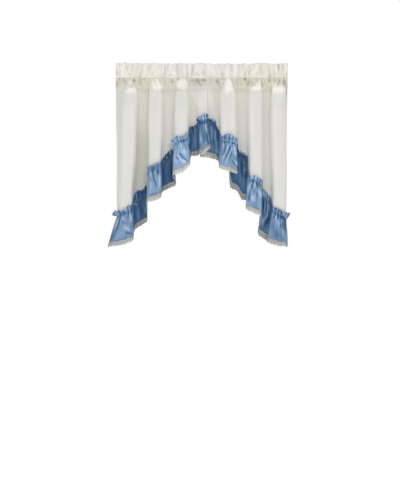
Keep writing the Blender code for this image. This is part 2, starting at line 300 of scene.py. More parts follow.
print(f"{len(LEFT_CREASES) + len(RIGHT_CREASES)} main creases")

# %% [markdown]
# ## From a grid to a hanging cloth
#
# A sheet is a flat grid that is added as a primitive and then moved, row by row, to where the cloth
# hangs. Its UV map is kept in metres of cloth, so that a weave or a hem has its real size wherever the
# sheet goes. Solidify then gives the cloth its thickness. Point attributes go with it for the materials:
# crease says how sharply the cloth dips (above a half) or stands proud (below a half), which the
# materials paint as shade and light, and shade is the painted shade there. The panels have three more.

# %% Build a sheet from rows of points
CLOTH_THICK = 0.6 * MM
HOLLOW_REACH = 5 * MM
PANEL_HOLLOW, RUFFLE_HOLLOW = 1.1 * MM, 2.4 * MM  # how deep a dip has to be within the reach to get the darkest painted crease shade


def hollows(points, columns_apart, rows_apart, side, full):
    """From 0 on sharp pipes, past a half on flat cloth, to 1 where it dips by the full depth."""
    across = np.gradient(points, axis=2)
    up = np.gradient(points, axis=0)
    normal = np.cross(across, up, axis=1) * side
    normal /= np.linalg.norm(normal, axis=1, keepdims=True) + 1e-12
    total = np.zeros_like(points)
    for axis, step in ((2, columns_apart), (0, rows_apart)):
        for move in (-step, step):
            places = np.clip(np.arange(points.shape[axis]) + move, 0, points.shape[axis] - 1)
            total += np.take(points, places, axis=axis) - points
    dip = (total / 4 * normal).sum(axis=1)
    return np.clip(0.5 + 0.5 * dip / full, 0, 1)


def thicken(piece, thickness, tones):
    """Gives a sheet its thickness and then its tones, each with its values on the front and on the back."""
    wall = piece.modifiers.new("cloth", "SOLIDIFY")
    wall.thickness = thickness
    wall.offset = 0.0
    bpy.ops.object.modifier_apply(modifier=wall.name)
    for label, (front, back) in tones.items():
        values = piece.data.attributes.new(label, "FLOAT", "POINT")
        values.data.foreach_set("value", np.concatenate([front, back]))  # the front's points come first
    print(f"{piece.name}: {len(piece.data.polygons)} faces")


def sheet_object(name, rows, places, tones, hollow_full, crispness=1.0, flip=False):
    """rows is a list of (x, y, z) arrays, from the cloth's lower edge upwards, over the same places.

    tones gives each further point attribute: its values by row and column, on the front and on the back.
    """
    columns = len(places)
    bpy.ops.object.select_all(action="DESELECT")
    bpy.ops.mesh.primitive_grid_add(x_subdivisions=columns - 1, y_subdivisions=len(rows) - 1, size=1)
    piece = bpy.context.object
    piece.name = name
    mesh = piece.data
    mesh.name = name
    flat = np.empty(len(mesh.vertices) * 3)
    mesh.vertices.foreach_get("co", flat)
    flat = flat.reshape(-1, 3)
    column = np.rint((flat[:, 0] + 0.5) * (columns - 1)).astype(int)
    row = np.rint((flat[:, 1] + 0.5) * (len(rows) - 1)).astype(int)
    points = np.stack([np.stack(r) for r in rows])  # row, axis, column
    mesh.vertices.foreach_set("co", points[row, :, column].ravel())
    steps = np.linalg.norm(np.diff(points, axis=0), axis=1)
    rise = np.concatenate([np.zeros((1, columns)), np.cumsum(steps, axis=0)])
    corner_vertex = np.empty(len(mesh.loops), dtype=np.int32)
    mesh.loops.foreach_get("vertex_index", corner_vertex)
    u, v = places[column[corner_vertex]], rise[row[corner_vertex], column[corner_vertex]]
    mesh.uv_layers[0].name = "cloth"
    mesh.uv_layers["cloth"].uv.foreach_set("vector", np.stack([u, v], axis=1).ravel())
    reach = [max(1, round(HOLLOW_REACH / step)) for step in (places[1] - places[0], np.median(steps))]
    dips = hollows(points, *reach, side=-1 if flip else 1, full=hollow_full)
    crease = 0.5 + (dips - 0.5) * np.broadcast_to(crispness, (len(rows), 1))
    if flip:
        mesh.flip_normals()
    mesh.shade_smooth()
    mesh.update()
    # the point attributes that carry painted light and shade to the materials
    painted_light_layers = {"crease": (crease[row, column], 1 - crease[row, column])}
    for label, sides in tones.items():
        painted_light_layers[label] = [np.broadcast_to(side, (len(rows), columns))[row, column] for side in sides]
    thicken(piece, CLOTH_THICK, painted_light_layers)
    return piece


# %% [markdown]
# ## The panels
#
# On the real drape each panel is one length of cloth. It comes up the front from the stepped lower edge,
# passes in front of the rod, rises into the frill, folds over at the top and comes down the back, where
# its turned-in end is stitched at the pocket's foot. One grid that takes the same way gives the frill and
# the pocket their two layers.
#
# The stitches at the seam pinch the cloth, and the frill's pipes start between two pinches and lean a
# little on their way up. The pinches are listed too: where each is at the seam and at the frill's
# top, and how tall the pipe is between it and the next.

# %% The pinches of the frill's seam
# x at the seam and at the frill's top, the height of the pipe up to the next, how much painted shade the
# pinch gets
LEFT_PINCHES = (
    (-450, -450, 0.8, 0.6), (-433, -428, 0.9, 1), (-407, -388, 0.4, 0.8), (-375, -360, 0.35, 0.2),
    (-354, -333, 0.4, 1), (-322, -310, 0.85, 0.8), (-299, -268, 0.7, 0.7), (-250, -218, 0.5, 0.4),
    (-203, -177, 1, 0.6), (-158, -150, 0.7, 0.8), (-125, -130, 0.6, 1), (-98, -106, 0.5, 0),
    (-77, -77, 1, 0.2), (-51, -46, 0.4, 0.6), (-25, -14, 0.5, 1), (10, 18, 0.6, 0.9), (46, 40, 0.5, 0.7),
)
RIGHT_PINCHES = (
    (449, 449, 0.9, 0.4), (430, 420, 0.8, 0.8), (404, 404, 0.7, 0.5), (378, 378, 0.4, 0.6),
    (352, 346, 0.45, 1), (315, 307, 1, 0.5), (284, 265, 0.4, 0.2), (250, 250, 0.9, 0.8),
    (226, 211, 0.6, 1), (190, 197, 0.9, 0.7), (156, 158, 1, 0.6), (111, 114, 0.4, 0.6),
    (85, 90, 0.5, 0.9), (48, 64, 0.8, 0.6), (8, -6, 0.5, 0.7),
)
# The pocket's puffs: x, half the width, and the top and bottom of the face that gets a painted highlight,
# down from the seam
LEFT_PUFFS = ((-367, 30, 54, 84), (-234, 27, 8, 68), (-103, 29, 6, 60))
RIGHT_PUFFS = ((401, 32, 42, 84), (284, 28, 44, 68), (138, 24, 8, 84))
# x, and how far the frill's top edge stands above or below its usual height there
LEFT_TOPS = (
    (-443, 1), (-408, 0), (-396, 6), (-384, 1), (-320, 2), (-305, -2), (-290, 2), (-222, 1), (-210, -1),
    (-180, 1), (-160, -4), (-145, 1), (-90, 0), (-61, -2), (-35, 2), (12, 3), (40, -2),
)
RIGHT_TOPS = (
    (50, -2), (90, -1), (140, 0), (168, -3), (180, -6), (192, -1), (215, 1), (232, -2), (242, -8),
    (252, -1), (300, 3), (340, 2), (380, -1), (390, -5), (402, 0),
)
# x, and how creamy the doubled cloth looks there in the frill and in the pocket
LEFT_WARMTH = (
    (-450, 0.3, 0.3), (-385, 0.5, 0.6), (-340, 0.6, 0.6), (-310, 0.6, 1), (-225, 0.5, 0.7),
    (-190, 0.2, 0.5), (-150, 0.2, 0.5), (-60, 0.1, 0.4), (-20, 0.2, 0.2), (40, 0.4, 0.2),
)
RIGHT_WARMTH = (
    (28, 0.4, 0.2), (80, 0.3, 0.4), (110, 0.3, 0.6), (150, 0.1, 0.4), (190, 0.3, 0.8), (260, 0.6, 1),
    (310, 0.8, 0.8), (360, 0.8, 1), (450, 0.6, 0.4),
)
# x, and the valley's painted shade at its foot
LEFT_DEPTHS = ((-320, 0.82), (-200, 0.48), (-40, 0.48))
RIGHT_DEPTHS = ((75, 0.5), (215, 0.47), (342, 0.42))
# The outer side is turned in and painted darker near its top, as painted shade: its width and its shade
LEFT_EDGE, RIGHT_EDGE = (48, 0.36), (26, 0.75)

# %% The creases of the frill and the pocket
# As in the ruffles: the start, how far it runs across and falls, its width and its height
LEFT_TUCKS = (
    # the frill
    (-448, -7, 99, 1, 4, 7), (-448, -6, 57, 4, 4, 8), (-443, -42, 0, 29, 7, -6),
    (-435, -68, 28, 42, 12, 6), (-407, -26, 16, 21, 8, 4), (-391, -78, 21, 57, 16, 1.5),
    (-390, -73, 2, 42, 5, -4), (-370, -31, -13, 26, 5, -2), (-360, -73, 0, 42, 8, -1.5),
    (-333, -73, -6, 47, 7, -2.5), (-318, -42, -5, 37, 6, -2), (-307, -6, 89, -1, 4, 7),
    (-305, -10, 29, -32, 7, 3), (-302, -73, 5, 31, 8, 2.5), (-266, -63, -31, 60, 6, -3),
    (-260, -2, 42, -2, 3, 2.5), (-252, -37, -13, 34, 5, -3), (-245, -5, 16, -42, 9, 3),
    (-211, -73, 0, 42, 4, -3), (-203, -63, 0, 42, 4, 2), (-192, -68, -3, 58, 6, -4),
    (-192, -3, 57, -1, 4, 10), (-177, -58, 11, 53, 5, -3), (-166, -42, 31, -31, 9, 3),
    (-161, -37, 21, 21, 8, 4), (-158, -73, -3, 31, 7, 6), (-137, -68, -8, 21, 7, -4),
    (-124, -63, 2, 53, 12, -1.5), (-95, -63, 5, 42, 5, 2.5), (-77, -21, 10, 16, 5, -4),
    (-75, -73, 16, 47, 8, 6), (-67, -8, 74, 1, 4, 8), (-42, -68, -11, 63, 5, -4),
    (-38, -26, -3, 26, 4, -3), (-30, -31, 16, 26, 5, -4), (-20, -73, 8, 47, 7, 2.5),
    (-12, -2, 76, 3, 4, 6), (7, -42, 13, 24, 7, -5), (33, -68, 0, 58, 10, 6), (53, -63, 6, 47, 8, 4),
    # the pocket
    (-448, 8, 52, 0, 4, -3), (-443, 10, 0, 37, 8, -5), (-443, 31, -3, 32, 6, -3),
    (-433, 37, 11, 26, 8, 2), (-428, 13, -5, 50, 5, -1.5), (-414, 7, 10, 0, 4, -4),
    (-407, 8, 11, 23, 8, -3), (-396, 42, 13, 13, 8, 3), (-380, 8, 104, 0, 4, -2),
    (-380, 16, 7, 26, 12, 3), (-373, 13, 3, 24, 7, 4), (-367, 49, 2, 2, 4, -4), (-355, 5, 4, 19, 6, -8),
    (-354, 31, 8, 32, 6, 2.5), (-333, 7, 31, 1, 5, -3), (-331, 10, 13, 32, 8, -4),
    (-311, 10, 14, 24, 4, 3.5), (-304, 5, 1, 5, 4, -4), (-292, 8, 27, -1, 4, -3),
    (-281, 10, 3, 32, 6, -3), (-258, 16, 0, 26, 4, 4), (-258, 42, 21, 21, 5, 4),
    (-246, 18, 13, 34, 4, -3), (-239, 8, 22, 44, 5, 5), (-223, 8, 12, 29, 5, -5), (-212, 37, 4, 21, 4, 3),
    (-203, 8, 63, 1, 4, -2.5), (-192, 10, -4, 42, 7, -3), (-174, 8, 1, 13, 4, -3),
    (-164, 26, 3, 37, 4, 3), (-153, 13, 1, 16, 9, -5), (-140, 16, 0, 36, 5, -2), (-128, 21, 10, 33, 4, 5),
    (-124, 6, 5, 2, 6, -8), (-114, 0, 32, 0, 4, 3), (-114, 58, 34, -2, 3, 4), (-95, 21, 5, 26, 8, -1.5),
    (-72, 7, 89, 1, 5, -4), (-67, 8, 6, 44, 5, -4), (-67, 13, 58, 4, 7, -4), (-67, 65, 74, 3, 5, -1.5),
    (-56, 37, 78, 0, 19, -2), (-46, 10, 8, 42, 7, -2.5), (-30, 12, 94, 0, 6, -6),
    (-27, 10, 23, 32, 8, -6), (-20, 21, 11, 42, 4, 2), (-4, 47, 21, 5, 6, 3), (10, 8, 3, 10, 6, -7),
    (17, 16, 21, 36, 6, -2.5), (48, 7, 4, 6, 5, -5),
    # the panel below it
    (-441, 220, 3, 418, 8, 1.5), (-425, 52, -8, 612, 15, -2), (-391, 73, -16, 460, 16, 1.5),
    (-365, 115, 11, 340, 10, 1.5), (-268, 63, -3, 261, 5, 2), (-245, 73, -5, 251, 16, -1),
    (-216, 73, -2, 251, 5, 2), (-124, 42, 31, 125, 16, -1.5), (-67, 84, 47, 94, 10, -2.5),
    (-51, 52, 42, 105, 21, 2), (20, 52, 3, 126, 4, 4),
)
RIGHT_TUCKS = (
    # the frill
    (446, -34, -4, 26, 5, -6), (435, -73, 0, 39, 6, 5), (422, -58, -8, 58, 5, -4),
    (399, -73, 3, 36, 5, -4), (378, -63, 21, 37, 7, 5), (373, -26, 10, 26, 5, -3), (367, -7, 63, 1, 4, 6),
    (358, -21, 2, 26, 5, -6), (346, -68, 11, 52, 5, -4), (341, -63, 3, 53, 4, 2),
    (331, -68, 2, 52, 4, -2.5), (318, -68, -6, 58, 5, -2), (304, -58, -15, 50, 5, -4),
    (296, -73, -25, 57, 6, 6), (284, -63, -34, 60, 5, 3), (263, -63, -29, 58, 5, -3.5),
    (263, -6, 83, -2, 4, 7), (258, -63, -29, 58, 3, 3), (247, -63, -29, 58, 5, -3.5),
    (234, -2, 29, 1, 3, 3), (206, -5, 10, -32, 5, 3), (202, -68, -4, 63, 5, -3),
    (171, -71, 13, 34, 10, 5), (169, 0, -11, -31, 7, 5), (161, -5, 26, -32, 6, 4),
    (150, -68, 13, 58, 5, -3), (122, -42, 9, 39, 6, 7), (101, -31, 8, 36, 8, -6), (95, -68, 6, 37, 7, -3),
    (87, -63, 1, 53, 4, 2.5), (75, -5, 62, -2, 4, 5), (73, -63, 5, 58, 6, -3), (30, -73, 34, 52, 13, 3),
    # the pocket
    (447, 31, -3, 58, 6, -5), (435, 10, 11, 53, 6, -4), (430, 13, -3, 34, 7, -6),
    (414, 37, 16, 31, 8, 3.5), (404, 31, -16, 12, 4, -4), (403, 8, 4, 13, 4, -3), (399, 10, 5, 21, 6, -3),
    (388, 63, 42, -9, 6, 5), (383, 10, 58, 2, 4, -2), (383, 21, -3, 47, 7, 4.5), (381, 8, 5, 16, 5, -5),
    (378, 3, 36, 1, 3, 2.5), (369, 21, 3, 63, 4, 6), (359, 42, 1, 31, 4, -3), (352, 7, 1, 14, 6, -8),
    (341, 31, 3, 32, 4, -2), (331, 9, 3, 28, 5, -3), (315, 8, 52, 0, 4, -2.5), (315, 26, 4, 26, 4, -6),
    (310, 2, 36, -1, 3, 3), (301, 16, 6, 47, 4, 6), (292, 16, 10, 57, 9, 5), (286, 8, 3, 13, 5, -3),
    (284, 31, 10, 24, 6, 5), (260, 16, 8, 31, 5, -2.5), (258, 52, 20, 8, 8, 3), (255, 63, 26, 1, 6, 5),
    (247, 16, -9, 26, 8, -7), (223, 3, 4, 10, 6, -9), (221, 6, 21, 1, 5, -5), (218, 31, 6, 32, 5, 2),
    (200, 10, 5, 37, 5, -3), (181, 5, 9, 47, 6, -3), (169, 7, 94, 2, 5, -3), (158, 8, 1, 8, 3, -6),
    (155, 5, 16, 0, 3, 6), (145, 31, -10, 37, 10, 3), (143, 10, 16, 58, 6, 6), (132, 21, 17, 23, 4, -5),
    (131, -3, 12, 19, 5, 5), (127, 10, 21, 45, 4, 4), (120, 8, 2, 8, 4, -5), (114, 26, -5, 8, 4, -5),
    (111, 76, 16, -3, 6, 6), (103, 18, 11, 0, 4, 4), (90, 37, 16, 21, 7, -2.5), (85, 42, 16, 16, 12, -2),
    (75, 9, 41, 5, 5, -3), (69, 8, 22, 26, 8, -7), (67, 6, 49, 2, 5, -3.5), (67, 26, 12, 37, 4, 3),
    (33, 37, 47, -3, 18, -2), (30, 10, 29, 3, 6, -4),
    # the panel below it
    (425, 89, -5, 497, 10, -1), (383, 89, 3, 497, 10, 1.5), (294, 73, 0, 304, 10, -1),
    (258, 73, 5, 304, 8, 2), (163, 73, -5, 199, 6, 2), (127, 73, 2, 199, 10, -1),
    (69, 52, 11, 157, 12, -1.5), (38, 63, 10, 104, 16, 2),
)
left_folds.pinches, right_folds.pinches = LEFT_PINCHES, RIGHT_PINCHES
left_folds.puffs, right_folds.puffs = LEFT_PUFFS, RIGHT_PUFFS
left_folds.tops, right_folds.tops = LEFT_TOPS, RIGHT_TOPS
left_folds.warmth, right_folds.warmth = LEFT_WARMTH, RIGHT_WARMTH
left_folds.depths, right_folds.depths = LEFT_DEPTHS, RIGHT_DEPTHS
left_folds.edge, right_folds.edge = LEFT_EDGE, RIGHT_EDGE
left_folds.tucks, right_folds.tucks = LEFT_TUCKS, RIGHT_TUCKS
left_folds.creases, right_folds.creases = LEFT_CREASES, RIGHT_CREASES
print(f"{len(LEFT_PINCHES) + len(RIGHT_PINCHES)} pinches, {len(LEFT_TUCKS) + len(RIGHT_TUCKS)} tucks")

# %% The panel below its pocket
POCKET = 76 * MM  # from the frill's seam to its foot
SEAM_ALLOWANCE = 5 * MM
FOOT_DEPTH = 0.5  # share of the folds' depth at the pocket's foot
FOLDS_SETTLE = 110 * MM
FACE_CROWN = 4 * MM  # of each proud fold's face
EDGE_HELD = 50 * MM  # how far up the ruffle holds the lower edge flat
GATHER_HEIGHT, GATHER_PITCH, GATHER_FADE = 5 * MM, 42 * MM, 60 * MM
BUCKLE_HEIGHT, BUCKLE_WIDTH, BUCKLE_LENGTH = 1.6 * MM, 26 * MM, 200 * MM
SWAY, SWAY_LENGTH = 1.5 * MM, 120 * MM  # of the folds, sideways


def body_row(folds, places, share):
    """The panel between the pocket's foot (share 0) and its lower edge (share 1)."""
    top_x, low_x = (folds.read(name, places, FOLD_RADIUS) for name in ("top_x", "low_x"))
    x = (1 - share) * top_x + share * low_x
    edge = folds.read("seam_drop", places, STEP_RADIUS) + SEAM_ALLOWANCE
    drop = POCKET + share * (edge - POCKET)
    below = drop - POCKET
    depth = FOOT_DEPTH + (1 - FOOT_DEPTH) * smooth(below / FOLDS_SETTLE)
    y = depth * folds.read("y", places, FOLD_RADIUS)
    free = smooth((edge - drop) / EDGE_HELD)
    fall = np.exp(-below / GATHER_FADE)
    y = y - FACE_CROWN * free * folds.faces(places)
    y = y - GATHER_HEIGHT * free * fall * (gathers(places, GATHER_PITCH, folds.seed) - 0.5)
    wavering = places + 0.01 * drift(drop, BUCKLE_LENGTH, folds.seed + 5)
    y = y - BUCKLE_HEIGHT * free * drift(wavering, BUCKLE_WIDTH, folds.seed + 1)
    x = x + SWAY * free * drift(drop + 0.1 * places, SWAY_LENGTH, folds.seed + 2)
    return x, y, SEAM_RISE - drop


# %% The pinches and the puffs
PINCH_WIDTH = 6 * MM
PINCH_SPREAD = 0.3  # of its width, by the drop below the seam


def seam_pipes(folds, places, share, softness):
    """The pipes between the pinches, at the seam (share 0) and up to the frill's top (share 1)."""
    seam_x, top_x, heights, _ = (np.array(column) for column in zip(*folds.pinches))
    x = MM * (seam_x + share * (top_x - seam_x))
    creases = (x - folds.outer_x) / (folds.inner_x - folds.outer_x) * folds.width
    return pipes_between(places, creases, heights, softness)


def pinch_marks(folds, places, drop=0.0):
    """Up to 1 at each pinch of the seam and 0 between them, wider further down."""
    x = folds.outer_x + (folds.inner_x - folds.outer_x) * places / folds.width
    width = PINCH_WIDTH + PINCH_SPREAD * drop
    marks = [mark * np.exp(-(((x - at * MM) / width) ** 2)) for at, _, _, mark in folds.pinches]
    return np.max(marks, axis=0)


def puffed(folds, x, share):
    """1 on the pocket's puffs and 0 beside them. They are narrower near the seam."""
    wide = 0.7 + 0.35 * share
    marks = [np.exp(-(((x / MM - at) / (wide * half)) ** 4)) for at, half, _, _ in folds.puffs]
    return np.max(marks, axis=0)


def puff_light(folds, x, drop):
    """1 on the rounded faces of the puffs, which get a painted highlight, and 0 around them."""
    faces = []
    for at, half_width, top, bottom in folds.puffs:
        middle, half = MM * (top + bottom) / 2, MM * (bottom - top) / 2
        narrower = 1 - 0.25 * np.clip((middle - drop) / half, -0.4, 1)
        across, down = (x - at * MM) / (narrower * half_width * MM), (drop - middle) / half
        faces.append(np.exp(-((np.abs(across) ** 2.5 + np.abs(down) ** 2.5) ** 1.5)))
    return np.max(faces, axis=0)


# %% [markdown]
# ## The seam, the pocket and the frill
#
# A line of stitches makes the frill. The cloth is pushed together along it, so it stands up in pipes
# above the seam and dives under in pinches below. Further down, the pocket's front and back part around
# the rod, and the front bellies out in a few puffs. A cloth simulation would find such shapes too, but
# not the same ones. Here each layer is a set of rows that is worked out from the seam, so every pipe
# starts at its own pinch.

# %% The seam and the tucks
SEAM_PIPE, SEAM_GATHER = 8 * MM, 2.5 * MM  # how far they stand out at the seam
SEAM_BACK, SEAM_PITCH = 1 * MM, 11 * MM
SEAM_WANDER, WANDER_LENGTH, WANDER_FADE = 2.6 * MM, 34 * MM, 12 * MM
SEAM_RIDGE, RIDGE_WIDTH, RIDGE_PITCH = 5 * MM, 4 * MM, 27 * MM
TUCK_RELIEF = 0.7  # share of a tuck's height that moves the cloth


def gathered(folds, places):
    """The cloth at the frill's seam."""
    x = folds.outer_x + (folds.inner_x - folds.outer_x) * places / folds.width
    y = SEAM_BACK - SEAM_PIPE * seam_pipes(folds, places, 0.0, 0.3)
    y = y - SEAM_GATHER * (gathers(places, SEAM_PITCH, folds.seed + 3) - 0.5)
    return x, y


def seam_wander(folds, places, away):
    """The seam is never quite straight."""
    return SEAM_WANDER * drift(places, WANDER_LENGTH, folds.seed + 14) * math.exp(-away / WANDER_FADE)


def tucked(folds, row, hold=1.0):
    """A row moved by the placed tucks, and forwards in the ridge that the seam's stitches draw up."""
    x, y, z = row
    relief = TUCK_RELIEF * crease_relief(folds.tucks, x, z)
    ridge = SEAM_RIDGE * np.exp(-(((z - SEAM_RISE) / RIDGE_WIDTH) ** 2))
    ridge = ridge * (0.4 + gathers(np.abs(x), RIDGE_PITCH, folds.seed + 15, softness=0.5))
    return x, y - hold * (relief + ridge), z


# %% The rod pocket
ROD_WAY_TOP, ROD_WAY_FOOT = 7 * MM, 47 * MM  # below the seam
ROD_WALL = 9.2 * MM  # of the cloth's middle from the rod's axis
PINCH_HEIGHT, PINCH_FADE = 12 * MM, 26 * MM  # of the pipes between the pinches, and down the pocket
PINCH_DEPTH, PINCH_DEPTH_FADE = 3 * MM, 14 * MM
WRINKLE, WRINKLE_PITCH, WRINKLE_LEAN = 3 * MM, 21 * MM, 9 * MM  # the pocket's front is never smooth
BACK_BELLY, BACK_WRINKLE, BACK_PITCH = 5 * MM, 2 * MM, 23 * MM
ROD_SLACK, SLACK_PITCH = 1.5 * MM, 17 * MM
PUFF, PUFF_SAG = 9 * MM, 7 * MM
TUCK_HOLD = 8 * MM  # how far a tuck carries on into the back layer from a line of stitches
LAYER_GAP = 0.5 * MM  # from each of the two layers to the middle between them


def pocket_row(folds, places, share, back):
    """One layer of the rod pocket, from the frill's seam (share 0) to its foot (share 1)."""
    seam_x, seam_y = gathered(folds, places)
    foot_x, foot_y, _ = body_row(folds, places, 0.0)
    drop = share * POCKET
    x = seam_x + (foot_x - seam_x) * smooth(share)
    y = seam_y + (foot_y - seam_y) * smooth(share)
    recess = folds.recess(places)
    opened = min(drop / ROD_WAY_TOP, 1.0) ** 0.6
    opened = opened * smooth((POCKET - drop) / (POCKET - ROD_WAY_FOOT))
    sag = np.zeros_like(x)
    if back:
        y = y + BACK_BELLY * opened * recess
        y = y + BACK_WRINKLE * opened * (gathers(places, BACK_PITCH, folds.seed + 7) - 0.5)
        slack = ROD_SLACK * gathers(places, SLACK_PITCH, folds.seed + 8)
        clear_y = np.maximum(y, ROD_WALL + slack)
    else:
        puff = math.sin(math.pi * share**1.7) ** 0.7 * puffed(folds, x, share)
        pinched = seam_pipes(folds, places, 0.0, 0.15) * math.exp(-drop / PINCH_FADE)
        wrinkles = gathers(places + WRINKLE_LEAN * share, WRINKLE_PITCH, folds.seed + 6)
        wrinkles = wrinkles * (1 - math.exp(-drop / PINCH_FADE))
        relief = PINCH_HEIGHT * pinched + WRINKLE * wrinkles + PUFF * puff
        between = 1 - pinch_marks(folds, places, drop)
        relief = relief + PINCH_DEPTH * math.exp(-drop / PINCH_DEPTH_FADE) * between
        y = y - opened * PUFF * puff
        clear_y = np.minimum(y, -ROD_WALL - relief)
        sag = PUFF_SAG * puff * smooth(share)
    y = y + opened * (clear_y - y)
    z = SEAM_RISE - drop - sag + seam_wander(folds, places, drop)
    hold = 1.0
    if back:
        hold = math.exp(-drop / TUCK_HOLD) + math.exp(-(POCKET - drop) / TUCK_HOLD)
    y = y + (LAYER_GAP if back else -LAYER_GAP)
    x, y, z = tucked(folds, (x, y, z), hold)
    if not back and opened == 1.0:
        y = np.minimum(y, -ROD_WALL)
    return x, y, z


# %% The frill
FRILL = 76 * MM
FRILL_PIPE, FRILL_GATHER = 18 * MM, 3.5 * MM  # how far they stand out at the frill's top
FRILL_BACK, FINE_BACK = 6 * MM, 2 * MM
FRILL_PITCH, FRILL_LEAN = 23 * MM, 9 * MM  # of its gathers
FRILL_APART, APART_LENGTH = 2.2 * MM, 19 * MM  # how much further apart its layers are halfway up
FRILL_SWAY, FRILL_SWAY_LENGTH = 2.5 * MM, 30 * MM
TOP_RAGGED, TOP_PITCH = 2 * MM, 17 * MM


def frill_row(folds, places, share, back):
    """One layer of the frill, from its seam (share 0) to its folded top edge (share 1)."""
    x, seam_y = gathered(folds, places)
    top_y = FRILL_BACK - FRILL_PIPE * seam_pipes(folds, places, share, 0.4 + 0.4 * share)
    fine = gathers(places + FRILL_LEAN * share, FRILL_PITCH, folds.seed + 10, softness=0.5)
    fine_y = FINE_BACK - FRILL_GATHER * fine
    y = seam_y + (top_y + fine_y - seam_y) * smooth(0.15 + 0.85 * share)
    side = 1.0 if back else -1.0
    apart = LAYER_GAP + FRILL_APART * math.sin(math.pi * share)
    own = drift(places, APART_LENGTH, folds.seed + (31 if back else 32))
    y = y + side * apart * (1 + 0.6 * own)
    x = x + FRILL_SWAY * share * drift(places, FRILL_SWAY_LENGTH, folds.seed + 12)
    top_x, top_rise = zip(*folds.tops)
    ragged = MM * np.interp(x / MM, top_x, top_rise)
    ragged = ragged + TOP_RAGGED * drift(places, TOP_PITCH, folds.seed + 13)
    z = SEAM_RISE + share * (FRILL + ragged) + seam_wander(folds, places, share * FRILL)
    return tucked(folds, (x, y, z))


# %% [markdown]
# ## Painted light and shade
#
# The panels' colour carries painted light and shade. The valleys, the pinches, the troughs and the
# pocket under its seam get painted shade; the puffs' faces, the ridges and the flanks where the cloth
# turns away get painted light; and doubled cloth gets a creamy tint, which in the valleys under the
# pocket is a warm painted shade. They are not painted on a texture, which would have to be painted again
# after each change of the folds: they are worked out row by row along with the shape, and kept on the
# cloth's points for the material to read.

# %% Tones of the tucks, the flanks and the valleys
VALLEY_SETTLE, EDGE_SETTLE = 300 * MM, 200 * MM  # how far down their shades change
TUCK_SHADE = 0.065  # painted shade for each millimetre of a trough
TUCK_WHITE = 0.11  # painted light for each millimetre of a ridge


def tuck_tones(folds, x, z):
    """Painted shade in the placed troughs, and painted light on the ridges."""
    relief = crease_relief(folds.tucks, x, z) / MM
    trough, ridge = np.maximum(-relief, 0), np.maximum(relief, 0)
    return TUCK_SHADE * (trough - 0.5 * ridge), TUCK_WHITE * relief


def turned(x, y):
    """0 where the cloth faces forwards to 1 where it faces sideways."""
    across, deep = np.gradient(x), np.gradient(y)
    return 1 - np.abs(across) / np.hypot(across, deep)


def body_shade(folds, places, x, drop):
    """Painted shade in the valleys, and on the outer side's turned hem near its top."""
    foot_shade = np.interp(x / MM, *zip(*folds.depths))
    lower = smooth((drop - POCKET) / VALLEY_SETTLE)
    valleys = folds.recess(places) ** 2 * (0.4 + (foot_shade - 0.4) * lower)
    wide, shade = folds.edge
    edge = shade * np.exp(-((places / (wide * MM)) ** 4))
    edge = edge * (1 - 0.7 * smooth((drop - POCKET) / EDGE_SETTLE))
    return np.maximum(valleys, edge)


# %% The front rows with their tones
FACE_CLEARS, FACE_WHITE = 0.7, 0.9  # a puff's painted highlight takes the painted shade away and adds painted light
EDGE_LIGHT, EDGE_LIGHT_FADE = 0.3, 60 * MM  # painted light on the panel behind the ruffle's frill, which lifts the frill's shadow there
LONGEST_DROP = 730 * MM
FLANK_PAINTED_LIGHT = 1.0  # painted light on the flanks, where the cloth turns sideways, to lift their shade
FOOT_WARMTH, FOOT_WARMTH_FADE = 0.6, 60 * MM  # a warm painted shade in the valleys under the pocket
# painted shade on the pocket's front between the puffs
POCKET_SHADE = 0.45
SEAM_SHADE, SEAM_SHADE_FADE = 0.55, 7 * MM  # painted shade on the pocket under the seam's stitches
FAN_SHADE, FAN_FADE = 0.25, 30 * MM  # painted shade below each pinch
# painted shade on the frill, more near its seam and under the pinches
FRILL_SHADE, FRILL_FOOT_SHADE, FRILL_FOOT = 0.1, 0.2, 22 * MM
BODY_CRISP, POCKET_CRISP = 0.12, 0.6  # how strongly the painted shade and light of the creases show


def body_part(folds, places, share):
    """A row of the panel, its painted shade, its painted light, its warmth and how strongly its creases are
    shaded.
    """
    row = tucked(folds, body_row(folds, places, share))
    x, drop = row[0], SEAM_RISE - row[2]
    trough, ridge = tuck_tones(folds, x, row[2])
    face = puff_light(folds, x, drop)
    shade = (1 - FACE_CLEARS * face) * body_shade(folds, places, x, drop) + trough
    edge_light = EDGE_LIGHT * np.exp(-(((1 - share) * LONGEST_DROP / EDGE_LIGHT_FADE) ** 2))
    flank = FLANK_PAINTED_LIGHT * turned(x, row[1]) * smooth(2 * (1 - share) + 0.1)
    white = np.maximum(flank, FACE_WHITE * face) + ridge + edge_light
    warmth = FOOT_WARMTH * folds.recess(places) * np.exp(-(drop - POCKET) / FOOT_WARMTH_FADE)
    return row, shade, white, warmth, BODY_CRISP


def pocket_part(folds, places, share):
    """The same for the pocket's front layer."""
    row = pocket_row(folds, places, share, back=False)
    x, drop = row[0], share * POCKET
    trough, ridge = tuck_tones(folds, x, row[2])
    face = puff_light(folds, x, SEAM_RISE - row[2])
    pinch = pinch_marks(folds, places, drop)
    under = SEAM_SHADE * math.exp(-drop / SEAM_SHADE_FADE) * (0.04 + 0.6 * pinch)
    fan = FAN_SHADE * math.exp(-drop / FAN_FADE) * pinch
    foot = smooth(4 * share - 3)
    even = POCKET_SHADE * (1 - foot) * smooth(4 * share)
    even = even + foot * body_shade(folds, places, x, POCKET)
    shade = (1 - FACE_CLEARS * face) * (even + under + fan) + trough
    warm_x, _, warm = zip(*folds.warmth)
    warmth = (1 - 0.8 * face) * np.interp(x / MM, warm_x, warm) * (1 - 0.3 * foot)
    return row, shade, FACE_WHITE * face + ridge, warmth, POCKET_CRISP - 0.5 * foot


